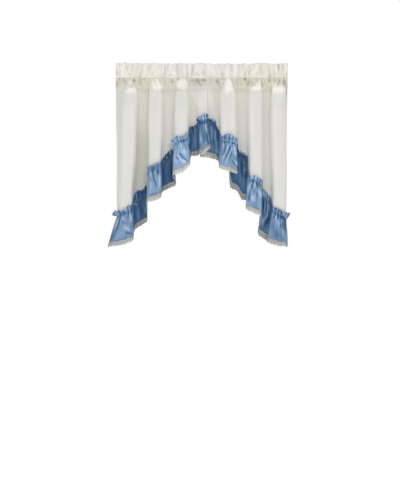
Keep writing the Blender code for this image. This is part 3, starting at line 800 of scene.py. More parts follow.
def frill_part(folds, places, share):
    """The same for the frill's front layer."""
    row = frill_row(folds, places, share, back=False)
    trough, ridge = tuck_tones(folds, row[0], row[2])
    near = math.exp(-share * FRILL / FRILL_FOOT)
    seam_shade = FRILL_FOOT_SHADE * near * (0.2 + pinch_marks(folds, places))
    # the doubled frill is whiter, and its pipes and ridges get painted light
    white = (0.8 + 0.2 * share) * (0.45 + 0.35 * seam_pipes(folds, places, share, 0.5)) + ridge
    warm_x, warm, _ = zip(*folds.warmth)
    warmth = 0.85 * np.interp(row[0] / MM, warm_x, warm) * (0.6 + 0.4 * near)
    return row, FRILL_SHADE + seam_shade + trough, white, warmth, BODY_CRISP


# %% Make the two panels
COLUMN = 2.5 * MM
BODY_ROWS, POCKET_ROWS, FRILL_ROWS = 55, 24, 22
POCKET_CROWDING, FRILL_CROWDING = 1.15, 1.2  # their rows stand closer near the seam
TURNED_HEM, HEM_BEHIND = 9 * MM, 0.7 * MM  # of the back layer, below the pocket's foot
BACK_SHADE, BACK_WHITE, BACK_WARMTH, BACK_CRISP = 0.2, 0.4, 0.4, 0.6  # painted shade in its valleys, an even whitening, the tint and the crease shading of the doubled cloth behind
BACK_LAYERS = 0.3  # the white of the cloth's other side


def panel_rows(folds, places):
    """The rows of a panel, their painted light and shade, and how strongly their crease shading shows."""
    body_shares = np.linspace(1, 0, BODY_ROWS + 1)[:-1]
    pocket_shares = np.linspace(1, 0, POCKET_ROWS) ** POCKET_CROWDING
    frill_shares = np.linspace(0, 1, FRILL_ROWS) ** FRILL_CROWDING
    parts = [body_part(folds, places, share) for share in body_shares]
    parts += [pocket_part(folds, places, share) for share in pocket_shares]
    parts += [frill_part(folds, places, share) for share in frill_shares[1:]]
    rows, shades, whites, warms, crisp = (list(column) for column in zip(*parts))
    rows += [frill_row(folds, places, share, back=True) for share in frill_shares[::-1]]
    rows += [pocket_row(folds, places, share, back=True) for share in pocket_shares[::-1][1:]]
    foot_x, foot_y, foot_z = rows[-1]
    rows += [(foot_x, foot_y + HEM_BEHIND, foot_z - TURNED_HEM * share) for share in (0.5, 1.0)]
    behind = len(rows) - len(parts)
    shades += behind * [BACK_SHADE * folds.recess(places)]
    whites += behind * [np.full_like(places, BACK_WHITE)]
    warms += behind * [np.full_like(places, BACK_WARMTH)]
    inside = np.zeros(len(rows))  # 1 on the inner side of the pocket's two layers
    inside[BODY_ROWS : BODY_ROWS + POCKET_ROWS] = 1.0
    inside[-2 - POCKET_ROWS : -2] = 1.0
    tones = {
        "shade": (np.clip(shades, 0, 1), BACK_SHADE),
        # painted light on the puffs' faces, the ridges, the flanks and behind the ruffle's frill
        "painted_light_layers": (np.clip(whites, 0, 1), BACK_LAYERS),
        "warmth": (np.array(warms), BACK_WARMTH),
        "inside": (0.0, inside[:, None]),
    }
    return rows, tones, np.array(crisp + behind * [BACK_CRISP])[:, None]


def panel(hand, folds):
    places = np.linspace(0, folds.width, round(folds.width / COLUMN) + 1)
    folds.panel_rows, tones, crisp = panel_rows(folds, places)
    name, flip = "swag_" + hand, hand == "right"
    return sheet_object(name, folds.panel_rows, places, tones, PANEL_HOLLOW, crisp, flip)


swags = {hand: panel(hand, folds) for hand, folds in SIDES}

# %% [markdown]
# ## The ruffles
#
# A ruffle is a strip that is gathered along the edge that it is sewn to. Its stitch line runs a little
# below its top, so a small frill stands above it and a skirt falls below. The pipes are tight at the
# stitches and open out towards the hem, and they lean to the middle because they start square to a
# sloping seam.

# %% How tall the ruffles' own frill stands
# x, and the frill's height above the stitches
LEFT_HEADING = (
    (-443, 4), (-435, 34), (-422, 24), (-407, 21), (-391, 29), (-378, 38), (-368, 29),
    (-360, 29), (-346, 39), (-333, 46), (-323, 33), (-307, 22), (-295, 36), (-281, 28),
    (-273, 18), (-245, 16), (-218, 17), (-203, 24), (-190, 33), (-177, 42), (-156, 35),
    (-144, 17), (-140, 29), (-128, 42), (-109, 24), (-93, 26), (-82, 34), (-73, 31),
    (-69, 47), (-64, 34), (-56, 17), (-41, 17), (-25, 14), (-14, 19), (-8, 31),
    (7, 37), (22, 40), (33, 29),
)
RIGHT_HEADING = (
    (442, 39), (435, 37), (425, 35), (414, 38), (394, 37), (378, 30), (370, 27),
    (357, 44), (345, 39), (336, 47), (318, 40), (310, 28), (294, 34), (276, 39),
    (263, 24), (252, 19), (243, 36), (238, 38), (231, 36), (216, 33), (205, 26), (195, 13), (179, 26),
    (158, 42), (143, 50), (122, 39), (111, 22), (101, 26), (95, 30), (90, 29), (80, 9),
    (72, 34), (59, 17), (43, 13), (31, 13),
)
# Where the frill leans outwards: x, how far, over what width, and how late on its way up
LEFT_EARS = (
    (-443, -24, 28, 1.3), (-276, -5, 9, 1.3), (-142, -13, 13, 1.3), (-14, -10, 12, 1.3), (33, 5, 8, 1.3),
)
RIGHT_EARS = (
    (442, 19, 20, 0.85), (310, 5, 12, 1.3), (240, 12, 10, 1.3), (177, 7, 12, 1.3), (60, 10, 8, 1.3),
)
# x, and how much of the hem's bow the fold there has
LEFT_BOWS = ((-420, 0.5), (-300, 0.2), (-200, 0.2), (-100, 1.0), (-40, 0.2), (0, 0.7))
RIGHT_BOWS = ((100, 0.1), (200, 0.1), (270, 0.1), (340, 0.3), (400, 0.6))
left_folds.heading, right_folds.heading = sorted(LEFT_HEADING), sorted(RIGHT_HEADING)
left_folds.ears, right_folds.ears = LEFT_EARS, RIGHT_EARS
left_folds.bows, right_folds.bows = LEFT_BOWS, RIGHT_BOWS
print(f"the left ruffle's frill stands up to {max(high for _, high in LEFT_HEADING)} mm high")

# %% The run of the ruffles
SKIRT = 160 * MM  # about how long it hangs below the stitches
FINE_PITCH, FINE_HEIGHT, FINE_FADE = 10 * MM, 3.2 * MM, 18 * MM  # the gathers at the stitches
PIPE_PITCH, PIPE_HEIGHT, PIPE_FADE = 23 * MM, 4 * MM, 160 * MM  # the pipes that they run into
PIPE_START = 8 * MM
WIDE_PITCH, WIDE_HEIGHT, WIDE_GROWTH = 43 * MM, 4 * MM, 130 * MM  # the slow waves of the skirt
FLOW_LEAN = 14 * MM  # how far the pipes lean on their way down
FLOW_WANDER, FLOW_LENGTH = 3 * MM, 60 * MM
BILLOW, BILLOW_START = 6 * MM, 12 * MM  # of the skirt, out from the stitches that hold it in
HEM_PITCH, HEM_HEIGHT = 25 * MM, 3 * MM
HEM_BOW = 14 * MM  # how far the hem sags in the middle of a proud fold
RAGGED_PITCH, RAGGED_HEIGHT = 11 * MM, 8 * MM  # of the frill's top edge
FRILL_FLARE = 12 * MM
VALLEY_SQUEEZE = 0.5
CREASE_RELIEF = 0.7
SIDEWAYS = 0.45  # how much of the standing out moves the cloth sideways


def outward(folds, x, y):
    """Unit vectors in plan that point out of the cloth's front."""
    across, deep = np.gradient(x), np.gradient(y)
    length = np.hypot(across, deep)
    return folds.front * deep / length, -folds.front * across / length


def ear_lean(folds, places, up):
    """How far the frill leans to the side at a share of its height, in metres."""
    low_x = folds.columns["low_x"] / MM
    lean = np.zeros_like(places)
    for at, most, reach, curl in folds.ears:
        place = folds.corner_places[np.argmin(np.abs(low_x - at))]
        lean = lean + up**curl * most * MM * np.exp(-(((places - place) / (reach * MM)) ** 2))
    return lean


def ruffle_row(folds, places, share, stand_off):
    """The ruffle, from its frill's top (share -1) past the stitch line (0) to the lace's hem (1)."""
    down, up = max(share, 0.0), max(-share, 0.0)
    seam_x = folds.read("low_x", places, FOLD_RADIUS)
    seam_y = folds.read("y", places, FOLD_RADIUS)
    seam_z = SEAM_RISE - folds.read("seam_drop", places, STEP_RADIUS)
    x = seam_x + down * (folds.read("hem_x", places, HEM_RADIUS) - seam_x)
    y = seam_y + math.sin(down * math.pi / 2) * (folds.read("hem_y", places, HEM_RADIUS) - seam_y)
    hem_z = SEAM_RISE - folds.read("hem_drop", places, STEP_RADIUS)
    heading_x, heading = zip(*folds.heading)
    tall = MM * np.interp(seam_x / MM, heading_x, heading)
    far = np.maximum(down * SKIRT, up * tall)  # from the stitches
    near_hem = smooth((down - 0.45) / 0.55)
    flow = places + folds.seed * MM + FLOW_LEAN * down
    flow = flow + FLOW_WANDER * drift(places, FLOW_LENGTH, folds.seed + 20)
    fine = FINE_HEIGHT * gathers(flow, FINE_PITCH, folds.seed + 21) * np.exp(-far / FINE_FADE)
    middle = PIPE_HEIGHT * gathers(flow, PIPE_PITCH, folds.seed + 22, softness=0.6)
    middle = middle * (1 - np.exp(-far / PIPE_START)) * np.exp(-far / PIPE_FADE)
    wide = WIDE_HEIGHT * gathers(flow, WIDE_PITCH, folds.seed + 23, softness=0.7)
    wide = wide * smooth(far / WIDE_GROWTH)
    billow = BILLOW * (1 - math.exp(-down * SKIRT / BILLOW_START)) * (1 - near_hem)
    ragged = RAGGED_HEIGHT * (gathers(places, RAGGED_PITCH, folds.seed + 25, softness=0.1) - 0.5)
    ragged = ragged * (0.8 + 1.2 * folds.recess(places))
    hem_wave = HEM_HEIGHT * (gathers(places, HEM_PITCH, folds.seed + 26, softness=0.3) - 0.4)
    bow = HEM_BOW * folds.faces(places) * np.interp(x / MM, *zip(*folds.bows))
    z = seam_z + down * (hem_z + hem_wave - seam_z) - down**2 * bow + up * (0.9 * tall + ragged)
    room = 1 - VALLEY_SQUEEZE * folds.recess(places)
    out = stand_off + room * (up * FRILL_FLARE + fine + middle + wide + billow)
    out = np.maximum(out + CREASE_RELIEF * crease_relief(folds.creases, x, z), stand_off)
    out_x, out_y = outward(folds, x, y)
    return x + SIDEWAYS * out * out_x + ear_lean(folds, places, up), y + out * out_y, z


# %% [markdown]
# ## The ruffles' painted shade
#
# A ruffle is painted light where a pipe stands towards the window and painted dark where it dips, and
# its stitches sit in a broken line of painted shade. Each fold has its own painted shade in the table of
# corners. Painted streaks of light and shade that follow the pipes, a slow mottle and the painted light
# and shade of the placed creases are added to it, and all of it goes on the cloth's points.

# %% How a ruffle looks, row by row
# painted light and shade in streaks along the pipes, strongest near the stitches
STREAKS, STREAK_FADE, STREAK_LEAN = 0.42, 45 * MM, 6 * MM
STREAK_PITCH, BROAD_PITCH = 9 * MM, 17 * MM
# a broken band of painted shade along the stitches
STITCH_SHADE, STITCH_BAND, BAND_ABOVE, BROKEN_PITCH = 0.26, 11 * MM, 3 * MM, 16 * MM
MOTTLE, MOTTLE_ACROSS, MOTTLE_DOWN = 0.2, 21 * MM, 40 * MM
CREASE_TONE = 0.058  # painted shade in a trough and painted light on a ridge, for each millimetre of a crease
HEADING_LIGHT = 0.05  # painted light on the frill above the stitches, on the proud folds only


def ruffle_shades(folds, places, rows, shares):
    """Painted shade of each fold, with painted light on ridges and more shade in troughs and stitches."""
    own = folds.read("shade", places, STEP_RADIUS)
    recess = folds.recess(places)
    shades = []
    for (x, _, z), share in zip(rows, shares):
        down, up = max(share, 0.0) * SKIRT, max(-share, 0.0)
        flow = places + 0.1 * down + STREAK_LEAN * up
        streaks = gathers(flow, STREAK_PITCH, folds.seed + 21, softness=0.3)
        streaks = streaks + gathers(flow, BROAD_PITCH, folds.seed + 27) - 1
        streaks = STREAKS * (1 - 0.35 * recess) * streaks * (math.exp(-down / STREAK_FADE) + 0.3 * up)
        broken = 1.9 * gathers(places, BROKEN_PITCH, folds.seed + 33, softness=0.4) ** 2
        band = math.exp(-(((share * SKIRT + BAND_ABOVE) / STITCH_BAND) ** 2))
        stitches = STITCH_SHADE * broken * band
        mottle = MOTTLE * drift(places + 0.4 * down, MOTTLE_ACROSS, folds.seed + 28)
        mottle = mottle * drift(down + 0.3 * places, MOTTLE_DOWN, folds.seed + 29)
        placed = CREASE_TONE / MM * (1 + 0.2 * recess) * crease_relief(folds.creases, x, z)
        heading = HEADING_LIGHT * smooth(3 * max(-share, 0.0)) * (1 - recess)
        shades.append(np.clip(own + stitches + mottle - streaks - placed - heading, 0, 1))
    return np.array(shades)


# %% Make the two ruffles
RUFFLE_COLUMN = 1.7 * MM
RUFFLE_ROWS, HEADING_ROWS = 56, 13
HEM_SHARE = 0.84  # of the skirt, where the ruffle's own cloth ends
RUFFLE_STAND_OFF = 2.0 * MM
RUFFLE_BACK_SHADE = 0.5


def ruffle(hand, folds):
    places = np.linspace(0, folds.width, round(folds.width / RUFFLE_COLUMN) + 1)
    skirt, heading = np.linspace(HEM_SHARE, 0, RUFFLE_ROWS), np.linspace(0, -1, HEADING_ROWS)
    shares = np.concatenate([skirt, heading[1:]])
    rows = [ruffle_row(folds, places, share, RUFFLE_STAND_OFF) for share in shares]
    tones = {"shade": (ruffle_shades(folds, places, rows, shares), RUFFLE_BACK_SHADE)}
    return sheet_object("ruffle_cloth_" + hand, rows, places, tones, RUFFLE_HOLLOW, flip=hand == "right")


ruffles = {hand: ruffle(hand, folds) for hand, folds in SIDES}

# %% [markdown]
# ## The lace
#
# The lace edging is openwork, so its holes are cut for real. It is laid out as a lattice of small cells
# that follows the hem. Each cell is a ring of eight faces around a round hole. The holes are wide in the
# net and the eyelet row, and narrow in the border and the flowers. Real lace of this kind has a mesh near
# 1.5 mm, and the cells are drawn a little coarser than that.

# %% Cut the lace
LACE_SHARE = 0.82  # of the skirt, where the lace begins
LACE_STAND_OFF = 3.0 * MM
LACE_CELL = 3.6 * MM
LACE_ROWS = 8
SCALLOP_CELLS = 5
SCALLOP = 0.022  # share of the skirt
LACE_THICK = 0.5 * MM
MIDDLE_LIGHT, MIDDLE_X, MIDDLE_WIDE = 0.35, 22 * MM, 26 * MM  # painted light on the middle fold's lace, which faces the light
LACE_FADE = 0.4  # how much lighter its free edge looks than its sewn one
RING = ((0, 0), (1, 0), (2, 0), (2, 1), (2, 2), (1, 2), (0, 2), (0, 1))  # around a cell, in half cells


def hole_radius(row, column):
    """In cells, by row from the lower edge up."""
    ground = (0.12, 0.15, 0.21, 0.21, 0.21, 0.21, 0.26, 0.12)[row]
    petal = (column % SCALLOP_CELLS, row) in ((2, 2), (1, 3), (2, 3), (3, 3), (2, 4))
    return 0.12 if petal else ground


def lace_surface(folds):
    """How many cells there are along the hem, and points at every half cell by shares down the skirt."""
    fine = np.linspace(0, folds.width, 4000)
    hem = np.stack(ruffle_row(folds, fine, 1.0, LACE_STAND_OFF))
    along = np.concatenate([[0], np.cumsum(np.linalg.norm(np.diff(hem, axis=1), axis=0))])
    cells_along = round(along[-1] / LACE_CELL)
    places = np.interp(np.linspace(0, along[-1], 2 * cells_along + 1), along, fine)
    shares = np.linspace(1, LACE_SHARE, 3 * LACE_ROWS + 1)
    grid = np.stack([np.stack(ruffle_row(folds, places, share, LACE_STAND_OFF)) for share in shares])
    return cells_along, places, grid


def on_surface(grid, half_columns, shares):
    """Positions between the grid's points."""
    row = np.clip((1 - shares) / (1 - LACE_SHARE) * (len(grid) - 1), 0, len(grid) - 1.001)
    column = np.clip(half_columns, 0, grid.shape[2] - 1.001)
    r, c = row.astype(int), column.astype(int)
    down, along = (row - r)[:, None], (column - c)[:, None]
    lower = grid[r, :, c] * (1 - along) + grid[r, :, c + 1] * along
    upper = grid[r + 1, :, c] * (1 - along) + grid[r + 1, :, c + 1] * along
    return lower * (1 - down) + upper * down


# %% Build the lace as one mesh
def mesh_object(name, points, faces):
    mesh = bpy.data.meshes.new(name)
    mesh.from_pydata(points.tolist(), [], faces)
    mesh.shade_smooth()
    piece = bpy.data.objects.new(name, mesh)
    bpy.context.scene.collection.objects.link(piece)
    return piece


def lace(hand, folds):
    cells_along, places, grid = lace_surface(folds)
    spots, spot_numbers, quads = [], {}, []  # spots in half cells: along, up

    def spot(key, along, up):
        if key not in spot_numbers:
            spot_numbers[key] = len(spots)
            spots.append((along, up))
        return spot_numbers[key]

    for row in range(LACE_ROWS):
        for column in range(cells_along):
            radius = 2 * hole_radius(row, column)
            edge, hole = [], []
            for turn, (a, b) in enumerate(RING):
                edge.append(spot((2 * column + a, 2 * row + b), 2 * column + a, 2 * row + b))
                angle = math.pi * (turn / 4 - 0.75)
                at = 2 * column + 1 + radius * math.cos(angle), 2 * row + 1 + radius * math.sin(angle)
                hole.append(spot((column, row, turn), *at))
            for k in range(8):
                n = (k + 1) % 8
                quads.append((edge[k], edge[n], hole[n], hole[k]))
    along, up = np.array(spots).T
    low_share = 1 - SCALLOP * (1 - np.abs(np.sin(math.pi * along / (2 * SCALLOP_CELLS))) ** 0.8)
    shares = low_share + (LACE_SHARE - low_share) * up / (2 * LACE_ROWS)
    points = on_surface(grid, along, shares)
    if hand == "right":
        quads = [quad[::-1] for quad in quads]
    piece = mesh_object("lace_edging_" + hand, points, quads)
    mesh = piece.data
    bpy.ops.object.select_all(action="DESELECT")
    bpy.context.view_layer.objects.active = piece
    piece.select_set(True)
    corner_vertex = np.empty(len(mesh.loops), dtype=np.int32)
    mesh.loops.foreach_get("vertex_index", corner_vertex)
    uv = np.stack([along / 2 * LACE_CELL, (1 - shares) * SKIRT], axis=1)[corner_vertex]
    mesh.uv_layers.new(name="cloth").uv.foreach_set("vector", uv.ravel())
    # the lace takes its fold's painted shade, with painted light on the middle fold
    shade = np.interp(along, np.arange(len(places)), folds.read("shade", places, STEP_RADIUS))
    bright = MIDDLE_LIGHT * np.exp(-(((points[:, 0] - MIDDLE_X) / MIDDLE_WIDE) ** 2))
    shade = np.clip(shade + LACE_FADE * (up / (2 * LACE_ROWS) - 0.6) - bright, 0, 1)
    flat = np.full(len(shade), 0.5)
    thicken(piece, LACE_THICK, {"crease": (flat, flat), "shade": (shade, np.minimum(shade + 0.1, 1))})
    return piece


edgings = {hand: lace(hand, folds) for hand, folds in SIDES}

# %% [markdown]
# ## The stitches
#
# Machine stitches hold the frill's seam, the pocket's foot, the ruffle, the lace and the side hems. One
# small stitch is a sphere that is drawn out along its length. Its points are copied along each line of
# sewing, turned to follow it, and joined, so that each kind of thread is one light mesh. Real thread is
# about 0.3 mm thick, and it is drawn thicker here so that the lines of sewing still show from a step
# away.

# %% Model one stitch
STITCH_PITCH = 3.6 * MM
STITCH_LONG = 2.7 * MM
STITCH_WIDE = 0.7 * MM
bpy.ops.object.select_all(action="DESELECT")
bpy.ops.mesh.primitive_uv_sphere_add(segments=6, ring_count=4, radius=0.5)
one_stitch = bpy.context.object
stitch_points = np.array([v.co for v in one_stitch.data.vertices])
stitch_faces = [np.array(face.vertices) for face in one_stitch.data.polygons]
bpy.data.objects.remove(one_stitch)
print(f"one stitch: {len(stitch_points)} points, {len(stitch_faces)} faces")


# %% Sew along lines
def sew(name, lines):
    """One mesh of stitches along lines of points, each line an array of x, y and z."""
    every_point = []
    for line in lines:
        along = np.concatenate([[0], np.cumsum(np.linalg.norm(np.diff(line, axis=1), axis=0))])
        middles = (np.arange(int(along[-1] / STITCH_PITCH)) + 0.5) * STITCH_PITCH
        tail, middle, head = (
            np.stack([np.interp(middles + move, along, axis) for axis in line], axis=1)
            for move in (-STITCH_LONG / 2, 0, STITCH_LONG / 2)
        )
        run = (head - tail) / np.linalg.norm(head - tail, axis=1, keepdims=True)
        helper = np.where(np.abs(run[:, 2:]) < 0.8, (0.0, 0.0, 1.0), (0.0, 1.0, 0.0))
        side = np.cross(helper, run)
        side /= np.linalg.norm(side, axis=1, keepdims=True)
        top = np.cross(run, side)
        local = stitch_points[None, :, :]
        placed = STITCH_WIDE * (local[..., :1] * side[:, None] + local[..., 1:2] * top[:, None])
        placed = placed + STITCH_LONG * local[..., 2:] * run[:, None]
        every_point.append((middle[:, None] + placed).reshape(-1, 3))
    points = np.concatenate(every_point)
    count = len(points) // len(stitch_points)
    faces = [tuple(face + k * len(stitch_points)) for k in range(count) for face in stitch_faces]
    print(f"{name}: {count} stitches")
    return mesh_object(name, points, faces)


def off_surface(folds, row, stand_off):
    """A row of points moved out of the cloth's front, or out of its back where the distance is below 0."""
    x, y, z = row
    out_x, out_y = outward(folds, x, y)
    return np.stack([x + stand_off * out_x, y + stand_off * out_y, z])


# %% The lines of sewing
THREAD_OUT = CLOTH_THICK / 2 + 0.15 * MM
SIDE_HEM = 12 * MM
LACE_JOIN = LACE_SHARE + 0.006


def panel_stitches(hand, folds):
    """The frill's seam and the pocket's foot on both sides, and the two side hems."""
    rows = folds.panel_rows
    foot, seam = BODY_ROWS, BODY_ROWS + POCKET_ROWS - 1
    behind = seam + 2 * FRILL_ROWS - 1
    lines = [off_surface(folds, rows[k], THREAD_OUT) for k in (foot, seam)]
    lines += [off_surface(folds, rows[k], -THREAD_OUT) for k in (behind, behind + POCKET_ROWS - 1)]
    fronts = np.stack([off_surface(folds, row, THREAD_OUT) for row in rows[:BODY_ROWS]])
    for edge in (round(SIDE_HEM / COLUMN), -1 - round(SIDE_HEM / COLUMN)):
        lines.append(fronts[:, :, edge].T)
    return sew("hem_stitches_" + hand, lines)


def ruffle_stitches(hand, folds):
    """The line that gathers the ruffle, and the one that joins the lace to it."""
    places = np.linspace(0, folds.width, 900)
    gathering = ruffle_row(folds, places, 0.0, RUFFLE_STAND_OFF)
    joining = ruffle_row(folds, places, LACE_JOIN, LACE_STAND_OFF)
    lines = [off_surface(folds, row, THREAD_OUT) for row in (gathering, joining)]
    return sew("ruffle_stitches_" + hand, lines)


hem_threads = {hand: panel_stitches(hand, folds) for hand, folds in SIDES}
ruffle_threads = {hand: ruffle_stitches(hand, folds) for hand, folds in SIDES}

# %% [markdown]
# ## Materials
#
# All of the drape is cotton, finished in three ways. The panels are a plain weave, soft and without
# gloss. The ruffles are the same weave with a glazed finish: it is rolled hot under pressure, so it
# shines a little along the creases. Their blue is painted deeper in the hollows, as painted shade. The
# lace is made of twisted thread.
#
# Each colour is chosen by the cloth's point attributes, which carry painted light and shade. Shade is
# painted shade, from the open folds to the deep hollows; another attribute is painted light on the puffs'
# faces, the ridges, the flanks and behind the ruffle's frill; warmth is where doubled cloth looks
# creamier, and a warm painted shade in the valleys under the pocket; crease is where the cloth dips,
# painted darker, or stands proud, painted lighter; and inside is where it faces the rod's way, which
# gets a painted glow. The patterns read the UV map, which is in metres of cloth, so their sizes are real.

# %% Helpers for materials
def linear(hex_colour):
    """A linear colour with alpha from an sRGB hex value."""
    parts = [int(hex_colour[i : i + 2], 16) / 255 for i in (1, 3, 5)]
    return tuple(c / 12.92 if c <= 0.04045 else ((c + 0.055) / 1.055) ** 2.4 for c in parts) + (1.0,)


def add_node(tree, kind, settings=None, links=None):
    """Adds a node, sets its properties and input values, and links outputs of other nodes to its inputs."""
    node = tree.nodes.new(kind)
    for name, value in (settings or {}).items():
        if isinstance(name, str) and hasattr(node, name):
            setattr(node, name, value)
        else:
            node.inputs[name].default_value = value
    for name, output in (links or {}).items():
        tree.links.new(output, node.inputs[name])
    return node


def new_material(name):
    material = bpy.data.materials.new(name)
    material.use_nodes = True
    return material, material.node_tree, material.node_tree.nodes["Principled BSDF"]


# %% Patterns of woven cloth
def colour_by_shade(tree, stops):
    """stops are (shade, colour) pairs of painted shade, from the lit folds to the shaded hollows."""
    shade = add_node(tree, "ShaderNodeAttribute", {"attribute_name": "shade"})
    tone = add_node(tree, "ShaderNodeValToRGB", links={"Fac": shade.outputs["Fac"]})
    for _ in stops[2:]:
        tone.color_ramp.elements.new(0.5)
    for element, (at, _) in zip(tone.color_ramp.elements, stops):
        element.position = at
    for element, (_, hex_colour) in zip(tone.color_ramp.elements, stops):
        element.color = linear(hex_colour)
    return tone.outputs["Color"]


def blotches(tree, size, stretch, low, high):
    """A slow unevenness along the cloth, between low and high. size is in metres, stretch along the warp."""
    place = add_node(tree, "ShaderNodeUVMap", {"uv_map": "cloth"})
    scale = (1 / size, 1 / (size * stretch), 1.0)
    sized = add_node(tree, "ShaderNodeMapping", {"Scale": scale}, {"Vector": place.outputs["UV"]})
    fine = {"Scale": 1.0, "Detail": 3.0}
    noise = add_node(tree, "ShaderNodeTexNoise", fine, {"Vector": sized.outputs["Vector"]})
    span = {"From Min": 0.3, "From Max": 0.7, "To Min": low, "To Max": high}
    return add_node(tree, "ShaderNodeMapRange", span, {"Value": noise.outputs["Fac"]}).outputs["Result"]


def multiply(tree, *factors):
    product = factors[0]
    for factor in factors[1:]:
        times = add_node(tree, "ShaderNodeMath", {"operation": "MULTIPLY"}, {0: product, 1: factor})
        product = times.outputs[0]
    return product


def crease_gain(tree, hollow, ridge):
    """1 on flat cloth, towards hollow in the dips and towards ridge on the pipes."""
    crease = add_node(tree, "ShaderNodeAttribute", {"attribute_name": "crease"})
    gains = []
    for far_end, gain in ((1.0, hollow), (0.0, ridge)):
        span = {"From Min": 0.5, "From Max": far_end, "To Min": 1.0, "To Max": gain}
        ranged = add_node(tree, "ShaderNodeMapRange", span, {"Value": crease.outputs["Fac"]})
        gains.append(ranged.outputs["Result"])
    return multiply(tree, *gains)


def colour_times_gain(tree, colour, gain):
    """A colour made lighter or darker by a gain."""
    scaled = add_node(tree, "ShaderNodeVectorMath", {"operation": "SCALE"}, {0: colour, "Scale": gain})
    return scaled.outputs[0]


def plain_weave(tree, thread, depth):
    """Each thread passes over one and under the next. thread is the distance between two, in metres."""
    place = add_node(tree, "ShaderNodeUVMap", {"uv_map": "cloth"})
    swings = []
    for direction in "XY":
        bands = {"bands_direction": direction, "Scale": math.pi / 20 / thread}
        bands |= {"Distortion": 0.6, "Detail Scale": 0.2}
        wave = add_node(tree, "ShaderNodeTexWave", bands, {"Vector": place.outputs["UV"]})
        half = {"operation": "SUBTRACT", 1: 0.5}
        swings.append(add_node(tree, "ShaderNodeMath", half, {0: wave.outputs["Fac"]}).outputs[0])
    raised = {"Strength": 0.35, "Distance": depth}
    bump = add_node(tree, "ShaderNodeBump", raised, {"Height": multiply(tree, *swings)})
    return bump.outputs["Normal"]


# %% Ivory cotton
# Plain-woven cotton, washed and pressed: matt and soft, with slubs where the spun thread is thicker.
# colours by the painted shade, from the lit folds to the shaded hollows
IVORY = ((0, "#d7d6d2"), (0.6, "#c9c9c2"), (1, "#a3a196"))
# the white that painted light mixes into the ivory, also the colour of the pocket's painted glow
IVORY_PAINTED_LIGHT = "#eceae4"
IVORY_CREAMY = "#fffcee"
PAINTED_POCKET_GLOW = 0.18  # a painted glow inside the rod pocket, which stands in for the light that gets in there
IVORY_THREAD = 0.9 * MM  # a real one is near 0.4 mm, drawn coarser so that it shows
ivory, tree, shader = new_material("ivory_plain_woven_cotton")
colour = colour_by_shade(tree, IVORY)
painted_light_layers, warmth, inside = (
    add_node(tree, "ShaderNodeAttribute", {"attribute_name": name}).outputs["Fac"]
    for name in ("painted_light_layers", "warmth", "inside")
)
# painted light whitens the ivory on the puffs' faces, the ridges and the flanks
lit = {"data_type": "RGBA", 7: linear(IVORY_PAINTED_LIGHT)}
whiter = add_node(tree, "ShaderNodeMix", lit, {"Factor": painted_light_layers, 6: colour})
creamy = {"data_type": "RGBA", "blend_type": "MULTIPLY", 7: linear(IVORY_CREAMY)}
warmer = add_node(tree, "ShaderNodeMix", creamy, {"Factor": warmth, 6: whiter.outputs[2]})
slubs = blotches(tree, 1.4 * MM, stretch=18.0, low=0.985, high=1.015)
pressed = blotches(tree, 60 * MM, stretch=1.6, low=0.992, high=1.008)
# painted shade in the crease's dips and painted light on its pipes, with the slubs and the pressing
gain = multiply(tree, crease_gain(tree, hollow=0.85, ridge=1.05), slubs, pressed)
tree.links.new(colour_times_gain(tree, warmer.outputs[2], gain), shader.inputs["Base Color"])
matt = blotches(tree, 9 * MM, stretch=2.0, low=0.7, high=0.82)
tree.links.new(matt, shader.inputs["Roughness"])
tree.links.new(plain_weave(tree, IVORY_THREAD, depth=0.12 * MM), shader.inputs["Normal"])
shader.inputs["Sheen Weight"].default_value = 0.1
shader.inputs["Sheen Roughness"].default_value = 0.6
# the inside of the rod pocket glows a little: painted light, though it is no lamp
shader.inputs["Emission Color"].default_value = linear(IVORY_PAINTED_LIGHT)
painted_glow_settings = {"operation": "MULTIPLY", 1: PAINTED_POCKET_GLOW}
glow = add_node(tree, "ShaderNodeMath", painted_glow_settings, {0: inside})
tree.links.new(glow.outputs[0], shader.inputs["Emission Strength"])
print(ivory.name, "with threads", IVORY_THREAD / MM, "mm apart")

# %% Blue glazed cotton
# The same weave, dyed and rolled hot: a low shine, most along the creases, where wear polishes the glaze.
# colours by the painted shade, from the lit folds to the shaded hollows
BLUE = ((0, "#a4bedb"), (0.35, "#7492b4"), (0.7, "#376287"), (1, "#083f6b"))
BLUE_THREAD = 0.7 * MM  # drawn coarser than the real 0.35 mm
blue, tree, shader = new_material("blue_glazed_cotton")
uneven_dye = blotches(tree, 16 * MM, stretch=2.5, low=0.96, high=1.05)
threads = blotches(tree, 1.1 * MM, stretch=14.0, low=0.97, high=1.03)
# painted shade in the crease's dips and painted light on its pipes, with the dye's unevenness and the
# threads
gain = multiply(tree, crease_gain(tree, hollow=0.7, ridge=1.2), uneven_dye, threads)
tree.links.new(colour_times_gain(tree, colour_by_shade(tree, BLUE), gain), shader.inputs["Base Color"])
rolled = blotches(tree, 12 * MM, stretch=2.0, low=0.38, high=0.47)
glaze = multiply(tree, crease_gain(tree, hollow=1.2, ridge=0.85), rolled)
tree.links.new(glaze, shader.inputs["Roughness"])
tree.links.new(plain_weave(tree, BLUE_THREAD, depth=0.08 * MM), shader.inputs["Normal"])
shader.inputs["Sheen Weight"].default_value = 0.1
print(blue.name, "with threads", BLUE_THREAD / MM, "mm apart")

